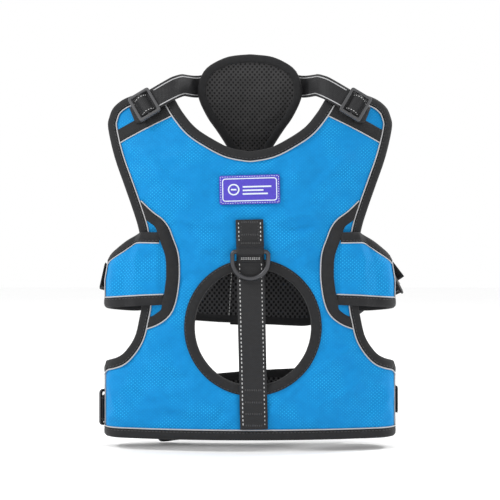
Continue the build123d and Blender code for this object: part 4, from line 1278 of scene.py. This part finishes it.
for nm, poly, rr, cr in (("chest", CHEST, [6, 6, 9, 9, 9, 9, 9, 9, 9, 7, 5], 1.6), ("belly", BELLY, [5, 8, 12, 6, 7, 12, 12, 6], 1.6)):
    outline = np.array(rounded(flipu(poly), 7.0))
    ln = resample(outline, 2.0, True)
    if nm == "chest":
        hold = [([(-throat_x(95), 95), (-throat_x(170), 170)], 13.5), ([(-50, 100), (-50, 155)], 6.0), ([(66, 108), (66, 158)], 6.0),
                ([(-56, 118), (-62, 119)], 12.0), ([(66, 134), (95, 142)], 14.0)]
    else:
        hold = [([(-35, 0), (-35, 64)], 6.5), ([(80, -8), (80, 56)], 6.5), ([(-18, 34), (-66, 34)], 11.5), ([(82, 26), (95, 26)], 13.0)]
    ob = layer(nm + "_pad_mesh", inset(ln, 4.0), F, 7.7, 4.7, "air_mesh", h=3.0, crown=cr, lam=8, press=2.0, grow=0.012, cap=0.0022, ripple=0.5, inner_crown=0.4, hold=hold)
    fix_normals(ob)
    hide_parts(nm + "_pad")
    ob = bind(nm + "_pad_binding_tape", outline, F, 7.6, 4.2, 8.9, True, seed=25.0)
    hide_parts(nm + "_pad_binding")


def tape_bar(name, p, q, w, fmap, n0, n1, stitch=True):
    """A short tape sewn across a pad's end."""
    p, q = np.array(p, float), np.array(q, float)
    ob = strip(name, [p, q], fmap, [(-w / 2, n0), (-w / 2 + 0.1, n1 - 0.5), (-w / 2 + 0.8, n1), (w / 2 - 0.8, n1), (w / 2 - 0.1, n1 - 0.5), (w / 2, n0)], False, "binding_tape", h=1.6, pucker=0.12)
    fix_normals(ob)
    if stitch:
        for k, d in enumerate((-w / 2 + 1.6, w / 2 - 1.6)):
            st = stitches("%s_stitching%d" % (name, k), shift([p, q], d), fmap, n1 + 0.1, "black_thread", 2.0, 2.6, 0.6, 0.4)
            fix_normals(st)
    return ob


def FX(x, z, n):
    return F(-np.asarray(x, float), z, n)


tape_bar("chest_pad_end_tape_right", (50.0, 103.0), (50.5, 150.5), 8.5, FX, 8.6, 11.35)
tape_bar("chest_pad_end_tape_left", (-67.5, 111.5), (-64.5, 153.0), 8.5, FX, 8.6, 11.5)
tape_bar("belly_pad_end_tape_right", (35.0, 6.5), (35.0, 55.5), 9.0, FX, 7.4, 9.5)
tape_bar("belly_pad_end_tape_left", (-81.5, -5.0), (-79.0, 46.0), 9.0, FX, 8.6, 11.3)
# seam on the inner face of the chest pad
ob = stitches("chest_pad_inner_seam", [(-20, 109), (-17.5, 152)], FX, 4.0, "pale_thread", 2.2, 3.0, 0.8, 0.5)
fix_normals(ob)

# ---------- buckle frames ----------
CS = 0.85
TILT = math.radians(12)
cu = Vector((-0.794 * math.cos(TILT), math.sin(TILT), -0.608 * math.cos(TILT))).normalized()
cv = Vector((0, 1, 0)).cross(cu).normalized()
cn = cu.cross(cv).normalized()
if cn.y < 0:
    cn = -cn
cv = cn.cross(cu).normalized()
CO = Vector((103.6, BY + 9.6 + 0.35 + 5.0 * CS + 0.2, 128.6))
BO = Vector((64.6, BY + 9.6 + 0.35 + 5.0, 33.2))
bu, bn, bv = Vector((-1, 0, 0)), Vector((0, 1, 0)), Vector((0, 0, 1))


def local(o, u, v, n, pts, s=1.0):
    return [tuple(o + u * (a * s) + v * (b * s) + n * (c * s)) for a, b, c in pts]


def loop_ribbon(name, o, u, v, n, path, width, thick, body, s=1.0, dashes=None, mat="webbing", sides=(1,)):
    pts = smooth([(a, 0.0, c) for a, c in path], 6)
    cen = local(o, u, v, n, pts, s)
    wd = np.repeat([list(v)], len(cen), 0)
    return ribbon(name, cen, width, thick, sides=sides, wdirs=wd, body=body, h=0.6, mat=mat, dashes=dashes, dash_kw=dict(length=1.7, pitch=2.5, width=0.7, high=0.4) if dashes else None)


# ---------- webbing of the belly band ----------
y_w = BY + WEBN
EXT = 1.2
# right: from the pad into the plug; bends across the release
cen = smooth([(36, y_w - 0.2, 34.6), (41, y_w - 0.15, 34.4), (48, y_w - 0.05, 34.0), (56, y_w, 33.6), (62, y_w, 33.3)], 6)
rb = ribbon("belly_webbing_to_plug", cen, 24.0, 1.3, wdirs=np.repeat([[0, 0, 1.0]], len(cen), 0), body=None)
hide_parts("belly_webbing_right")
st = []
for s in (-1, 1):
    st.append(stitches("belly_webbing_to_plug_dashes_%s" % ("a" if s < 0 else "b"), [(40.0, 34.0 + s * 9.4), (61.5, 33.4 + s * 9.4)],
                       lambda x, z, n: np.stack(np.broadcast_arrays(np.asarray(x, float), np.interp(x, cen[:, 0], cen[:, 1]) + n, np.asarray(z, float) - Z0), -1) * 0.001,
                       0.72, "pale_thread", 2.3, 3.2, 0.9, 0.5, body=None))
for o_ in [rb] + st:
    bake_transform(o_)
hump = [(20.2, -4.7), (17.6, -4.1), (16.1, -2.0), (15.2, 1.3), (13.7, 2.75), (12.3, 3.0), (10.9, 2.75), (9.5, 1.3), (9.0, -2.0), (8.2, -4.1), (5.8, -4.7)]
loop_ribbon("belly_plug_webbing_loop", BO, bu, bv, bn, hump, 24.0, 1.2, "belly_plug", dashes=(-9.4, 9.4), sides=(-1,))
wrap = [(-58, -8.6), (-52.5, -7.6), (-48.7, -5.4), (-47.0, -2.0), (-46.85, 2.2), (-46.4, 4.9), (-44.6, 5.95), (-42.6, 5.2), (-41.75, 2.4), (-41.7, -2.0), (-42.0, -5.2), (-44.4, -7.2), (-49.0, -8.6)]
loop_ribbon("belly_socket_webbing_loop", BO, bu, bv, bn, wrap, 25.0, 1.25, "vest", dashes=(-9.6, 9.6))


def off_fold(psi_list, n, z):
    return [(SX + (SR + n) * math.sin(p), SY - (SR + n) * math.cos(p), z) for p in psi_list]


ps = np.linspace(math.radians(86), math.pi, 15)
cen = off_fold(ps, 6.2, 33.2) + [(104, BY + 6.0, 33.2), (99.5, BY + 6.0, 33.2)]
ob = ribbon("belly_anchor_webbing", cen, 25.0, 1.4, wdirs=np.repeat([[0, 0, 1.0]], len(cen), 0), dashes=(-9.7, 9.7))
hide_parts("belly_buckle_anchor")

# left: from the pad down to the girth pad and round the fold, through the slider
lead = [(-79.5, y_w + 0.9, 25.2), (-83, y_w + 0.9, 25.0), (-87, y_w + 0.7, 24.9), (-91, y_w - 0.1, 24.7), (-97, BY + 7.0, 24.6), (-101, BY + 6.4, 24.6), (-SX, BY + 6.3, 24.6)]
ps = np.linspace(math.pi, math.radians(84), 12)[1:]
cen = lead + [(-(SX + (SR + 6.3) * math.sin(p)), SY - (SR + 6.3) * math.cos(p), 24.6) for p in ps]
ob = ribbon("belly_webbing_round_fold", cen, 25.0, 1.4, wdirs=np.repeat([[0, 0, 1.0]], len(cen), 0), dashes=(-9.7, 9.7))
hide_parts("belly_webbing_left")

# ---------- webbing of the chest band ----------
dz = (119.0 - 116.2) / 43.0
cen = smooth([(50, y_w + 1.0, 116.2), (56, y_w + 0.9, 116.6), (66, y_w + 0.3, 117.3), (80, y_w, 118.2), (93, y_w, 119.0)], 6)
rb = ribbon("chest_webbing_to_plug", cen, 24.5, 1.3, wdirs=np.repeat([[-dz, 0, 1.0]], len(cen), 0), body=None)
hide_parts("chest_webbing_right")
st = []
for s in (-1, 1):
    st.append(stitches("chest_webbing_to_plug_dashes_%s" % ("a" if s < 0 else "b"), [(54.8, 116.4 + s * 9.6), (86 if s > 0 else 92, 118.7 + s * 9.6)],
                       lambda x, z, n: np.stack(np.broadcast_arrays(np.asarray(x, float), np.interp(x, cen[:, 0], cen[:, 1]) + n, np.asarray(z, float) - Z0), -1) * 0.001,
                       0.72, "pale_thread", 2.3, 3.2, 0.9, 0.5, body=None))
for o_ in [rb] + st:
    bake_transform(o_)
loop_ribbon("chest_plug_webbing_loop", CO, cu, cv, cn, hump, 20.5, 1.05, "chest_plug", s=CS, dashes=(-8.0, 8.0), sides=(-1,))
wrap2 = [(-56, -9.0), (-51.5, -7.8), (-48.5, -5.4), (-47.0, -2.0), (-46.85, 2.2), (-46.4, 4.9), (-44.6, 5.95), (-42.6, 5.2), (-41.75, 2.4), (-41.7, -2.0), (-42.0, -5.2), (-44.4, -7.2), (-48.0, -8.4)]
loop_ribbon("chest_socket_webbing_loop", CO, cu, cv, cn, wrap2, 21.0, 1.1, "vest", s=CS, dashes=(-8.2, 8.2))
pts2 = smooth([(129.6, 23.4), (133.6, 20.0), (136.6, 14.5), (137.7, 8), (137.5, 1), (136.6, -4.0), (135.8, -6.2)], 5)
cen = [(x, y, 136 + (x - 124) * 0.55) for x, y in pts2]
ob = ribbon("chest_anchor_webbing", cen, 24.0, 1.4, wdirs=np.repeat([[-0.45, 0, 0.9]], len(cen), 0), dashes=(-9.4, 9.4))
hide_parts("chest_buckle_anchor")

# left: rises to the fold
kz = (151.2 - 132.8) / 86.0
lead = [(-64.5, y_w + 1.0), (-70, y_w + 1.0), (-86, y_w + 0.8), (-92.3, y_w + 0.1), (-96.6, BY + 7.2), (-100, BY + 6.3), (-SX, BY + 6.2)]
ps = np.linspace(math.pi, math.radians(82), 12)[1:]
cen = [(x, y, 132.8 + (-x - 64) * kz) for x, y in lead]
cen += [(-(SX + (SR + 6.3) * math.sin(p)), SY - (SR + 6.3) * math.cos(p), 132.8 + (SX - 64 + SR * 0.8 * (math.pi - p)) * kz) for p in ps]
nrm_w = 1 / math.hypot(1, kz)
ob = ribbon("chest_webbing_round_fold", cen, 24.5, 1.4, wdirs=np.repeat([[kz * nrm_w, 0, nrm_w]], len(cen), 0), dashes=(-9.6, 9.6))
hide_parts("chest_webbing_left")

# ---------- humps of webbing over the sliders' bars ----------


def hump_on(name, o, u, n, width, half, high, thick, body, dashes=None):
    u, n = Vector(u).normalized(), Vector(n).normalized()
    v = n.cross(u).normalized()
    path = [(-half, -1.05), (-half + 1.3, -0.7), (-half * 0.62, 0.5), (-half * 0.42, high - 0.9), (-half * 0.18, high - 0.1), (0, high), (half * 0.18, high - 0.1), (half * 0.42, high - 0.9), (half * 0.62, 0.5), (half - 1.3, -0.7), (half, -1.05)]
    return loop_ribbon(name, Vector(o), u, v, n, path, width, thick, body, dashes=dashes)


hump_on("throat_slider_webbing", (0.3, 33.65, 244.0), (0.048, 0, 1), (0, 1, 0), 25.0, 10.0, 3.35, 1.3, "throat_adjuster", dashes=(-9.2, 9.2))


def fold_frame(psi, n_g=8.1):
    r = SR + n_g
    return Vector((-(SX + r * math.sin(psi)), SY - r * math.cos(psi), 0)), Vector((-math.sin(psi), -math.cos(psi), 0)), Vector((math.cos(psi), -math.sin(psi), 0))


o, nn, tan = fold_frame(math.radians(158), 4.6 + 0.2 + 1.4 + 1.1)
gu = (tan * math.cos(math.radians(12)) + Vector((0, 0, 1)) * math.sin(math.radians(12))).normalized()
hump_on("chest_slider_webbing", (o.x, o.y, 145.4), gu, nn, 24.0, 9.0, 3.2, 1.3, "chest_adjuster", dashes=(-9.4, 9.4))
o, nn, tan = fold_frame(math.radians(125), 4.6 + 0.2 + 1.4 + 1.1)
hump_on("belly_slider_webbing", (o.x, o.y, 25.0), tan, nn, 24.0, 9.0, 3.2, 1.3, "belly_adjuster", dashes=(-9.4, 9.4))

# ---------- shoulder straps ----------
S_LINE = np.array([(29.0, 9.4), (34.0, 9.6), (40.0, 9.5), (45.0, 9.4), (49.5, 8.6), (54.0, 4.6), (60.5, -7.7), (66, -17.2), (75, -20.3), (90, -18.3), (98, -16.6), (107, -14.2)], float)
S_LINE = np.array(smooth(S_LINE, 4))
S_LEN = np.concatenate([[0], np.cumsum(np.linalg.norm(np.diff(S_LINE, axis=0), axis=1))])


def s_of(x):
    return float(np.interp(x, S_LINE[:, 0], S_LEN))


def SH(sgn):
    def f(s, z, n):
        s, z, n = np.broadcast_arrays(np.asarray(s, float), np.asarray(z, float), np.asarray(n, float))
        x = np.interp(s, S_LEN, S_LINE[:, 0])
        y = np.interp(s, S_LEN, S_LINE[:, 1])
        tx = np.interp(s + 0.5, S_LEN, S_LINE[:, 0]) - np.interp(s - 0.5, S_LEN, S_LINE[:, 0])
        ty = np.interp(s + 0.5, S_LEN, S_LINE[:, 1]) - np.interp(s - 0.5, S_LEN, S_LINE[:, 1])
        ln = np.maximum(np.hypot(tx, ty), 1e-6)
        nx, ny = ty / ln, -tx / ln
        lean = np.interp(x, [41, 50, 60], [-0.30, -0.05, 0.30])
        return np.stack([sgn * (x + nx * n), y + lean * (z - 325.0) + ny * n, z - Z0], -1) * 0.001
    return f


S_POLY = [(31.0, 338), (48.9, 336.0), (63, 335.5), (72, 332.0), (104, 313.2), (107, 309.7), (97.8, 293.4), (90, 298), (61.0, 315), (48.9, 315.5), (36.5, 319)]


def dense(poly, h=2.0):
    p = resample(np.array(poly, float), h, True)
    return np.array([(s_of(x), z) for x, z in p])


for side, sg in (("right", 1), ("left", -1)):
    fm = SH(sg)
    ob = layer("shoulder_strap_webbing_" + side, dense(S_POLY), fm, 0.65, -0.65, "webbing", h=2.0, crown=0.15, lam=2, press=0.0, grow=0.0, cap=0.0, ripple=0.2, cover=0.0)
    fix_normals(ob)
    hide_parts("shoulder_strap_" + side)
    for tag, ln in (("top", [(32.5, 335.6), (48.9, 333.6), (63, 333.2), (71.3, 329.6), (88.5, 319.4)]), ("low", [(37.3, 321.2), (48.9, 317.8), (61.4, 317.4), (70, 312.2), (84, 304.2)])):
        path = [(s_of(x), z) for x, z in resample(ln, 2.0)]
        for k, n in ((0, 0.95), (1, -0.95)):
            o2 = strip("shoulder_strap_edge_%s_%s%d" % (side, tag, k), path, fm, [(0.5 * math.cos(t), n + 0.3 * math.sin(t)) for t in np.linspace(0, 2 * math.pi, 8, endpoint=False)], False, "silver_piping", h=1.2, pucker=0.05)
            fix_normals(o2)
    # anchor webbing, sewn on under the slider
    anc = [(100.5, 309.8), (110.0, 304.3), (103.5, 288.5), (94.0, 290.5)]
    fm2 = P if sg > 0 else MIR(P)
    ob = layer("shoulder_anchor_webbing_" + side, rounded([(a_front(x, z), z) for x, z in anc][::-1], 1.5), fm2, 5.6, 4.4, "webbing", h=1.8, crown=0.1, lam=2, press=0.0, grow=0, cap=0, ripple=0.1, cover=0.0)
    fix_normals(ob)
    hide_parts("shoulder_anchor_" + side)
    su = Vector((sg * 0.858167, 0.017714, -0.513064))
    sn = Vector((sg * 0.188144, -0.940721, 0.282216))
    hump_on("shoulder_slider_webbing_" + side, (sg * 96.698, -23.847, 305.496), su, sn, 19.3, 7.6, 3.2, 1.25, "shoulder_adjuster_" + side, dashes=(-7.7, 7.7))

# boxes with a cross sewn through the tabs, seen on the lining
def LIN(a, z, n):
    """On the lining's face: n away from it, towards the belly side."""
    return P(a, z, -3.35 - np.asarray(n, float))


for side, sg in (("right", 1), ("left", -1)):
    c, r_ = np.array([sg * 92.0, 289.0]), 16.2
    ang = math.radians(45 - sg * 12)
    q = [c + r_ * np.array([math.cos(ang + k * math.pi / 2), math.sin(ang + k * math.pi / 2)]) for k in range(4)]
    mid_a, mid_b = (q[0] + q[1]) / 2, (q[2] + q[3]) / 2
    dirn = (mid_b - mid_a) / np.linalg.norm(mid_b - mid_a)
    ob = strip("tab_patch_" + side, [mid_a - dirn * 1.6, mid_b + dirn * 1.6], LIN, [(-13.0, -1.9), (-12.8, -1.0), (-12.2, -0.72), (-6.0, -0.6), (0.0, -0.56), (6.0, -0.6), (12.2, -0.72), (12.8, -1.0), (13.0, -1.9)], False, "webbing", h=1.4, pucker=0.14)
    fix_normals(ob)
    for k in range(4):
        ob = stitches("tab_box_%s_%d" % (side, k), [q[k], q[(k + 1) % 4]], LIN, -0.5, "grey_thread", 2.3, 2.8, 1.2, 0.8)
        fix_normals(ob)
        if k < 2:
            ob = stitches("tab_cross_%s_%d" % (side, k), [q[k], q[k + 2]], LIN, -0.5, "grey_thread", 2.3, 2.8, 1.2, 0.8)
            fix_normals(ob)
    tri = [(sg * 17.5, 215), (sg * 27, 200.5), (sg * 17, 200.5)]
    for k in range(3):
        ob = stitches("neck_mark_%s_%d" % (side, k), [tri[k], tri[(k + 1) % 3]], LIN, 0.1, "grey_thread", 2.1, 2.4, 1.3, 0.9)
        fix_normals(ob)
ob = stitches("spine_seam_on_lining", [(-9.5, 163), (-9.5, 197), (9.5, 197), (9.5, 163)], LIN, 0.0, "black_thread", 2.2, 3.0, 0.8, 0.5)
fix_normals(ob)

# ring embossed on each lock button
for nm, o, u, v, n, s in (("belly", BO, bu, bv, bn, 1.0), ("chest", CO, cu, cv, cn, CS)):
    k = 40
    V, Fc = [], []
    for i in range(k):
        an = 2 * math.pi * i / k
        for j in range(8):
            b = 2 * math.pi * j / 8
            r_ = 4.2 + 0.42 * math.cos(b)
            w_ = 5.9 + 0.28 * math.sin(b)
            q = o + u * ((-20.3 + r_ * math.cos(an)) * s) + v * (r_ * math.sin(an) * s) + n * (w_ * s)
            V.append((q.x / 1000, q.y / 1000, (q.z - Z0) / 1000))
    for i in range(k):
        for j in range(8):
            Fc.append((i * 8 + j, i * 8 + (j + 1) % 8, ((i + 1) % k) * 8 + (j + 1) % 8, ((i + 1) % k) * 8 + j))
    ob = add_mesh(nm + "_button_ring", V, Fc, [(q[0] * 1000, q[2] * 1000) for q in V], "button_coral" if nm == "belly" else "button_orange", nm + "_button")
    fix_normals(ob)

# ---------- finish of the moulded and metal CAD pieces ----------
LOOK = {
    "d_ring": "dark_steel",
    "throat_slider": "nickel",
    "shoulder_slider_left": "slider_black", "shoulder_slider_right": "slider_black",
    "chest_slider": "dark_steel", "belly_slider": "dark_steel",
    "chest_buckle_socket": "buckle_grey", "belly_buckle_socket": "buckle_grey",
    "chest_buckle_plug": "buckle_plug", "belly_buckle_plug": "buckle_plug",
    "chest_buckle_arm_a": "buckle_grey", "chest_buckle_arm_b": "buckle_grey",
    "belly_buckle_arm_a": "buckle_grey", "belly_buckle_arm_b": "buckle_grey",
    "chest_lock_button": "button_orange", "belly_lock_button": "button_coral",
}
SLOT = {"buckle_plug": "buckle_grey"}
for node, look in LOOK.items():
    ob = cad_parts[node]
    ob.data.materials.clear()
    ob.data.materials.append(MATS[look])
    SLOT.get(look, look)

# ---------- floor, light, camera ----------
lo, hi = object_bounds()
fz = lo[2] - 0.001
me = bpy.data.meshes.new("floor")
S = 6.0
me.from_pydata([(-S, -S, fz), (S, -S, fz), (S, S, fz), (-S, S, fz)], [], [(0, 1, 2, 3)])
floor = bpy.data.objects.new("floor", me)
N = Net("floor_paper")
fz_n = N.noise(N.obj(), 3.0, 2.0)
N.done(N.mix(fz_n, (0.955, 0.955, 0.955), (0.975, 0.975, 0.975)), 0.9, "floor_paper", spec=0.1)
me.materials.append(MATS["floor_paper"])
scene.collection.objects.link(floor)

world = bpy.data.worlds.new("studio")
world.use_nodes = True
bg = world.node_tree.nodes["Background"]
bg.inputs[0].default_value = (1.0, 1.0, 1.0, 1)
bg.inputs[1].default_value = 1.0
scene.world = world


def area(name, loc, at, size, watts, col=(1, 1, 1)):
    L = bpy.data.lights.new(name, "AREA")
    L.shape = "SQUARE"
    L.size = size
    L.energy = watts
    L.color = col
    ob = bpy.data.objects.new(name, L)
    ob.location = loc
    ob.rotation_euler = (Vector(at) - Vector(loc)).to_track_quat("-Z", "Y").to_euler()
    scene.collection.objects.link(ob)
    return ob


area("key", (-1.5, -0.75, 1.5), (0, 0, 0.05), 0.5, 24)
area("fill", (1.6, -1.2, 0.7), (0, 0, 0.05), 1.2, 4)
area("back", (1.5, 0.75, 1.5), (0, 0, 0.05), 0.5, 24)
area("back_fill", (-1.6, 1.2, 0.7), (0, 0, 0.05), 1.2, 4)

cam = bpy.data.cameras.new("camera")
cam.lens = 110
cam.sensor_width = 36
cam.dof.use_dof = False
co = bpy.data.objects.new("camera", cam)
mid = Vector((0.0, -0.005, (lo[2] + hi[2]) / 2))
co.location = mid + Vector((0.0, -1.42, 0.0))
co.rotation_euler = (mid - co.location).to_track_quat("-Z", "Y").to_euler()
scene.collection.objects.link(co)
scene.camera = co
scene.view_settings.view_transform = "Standard"
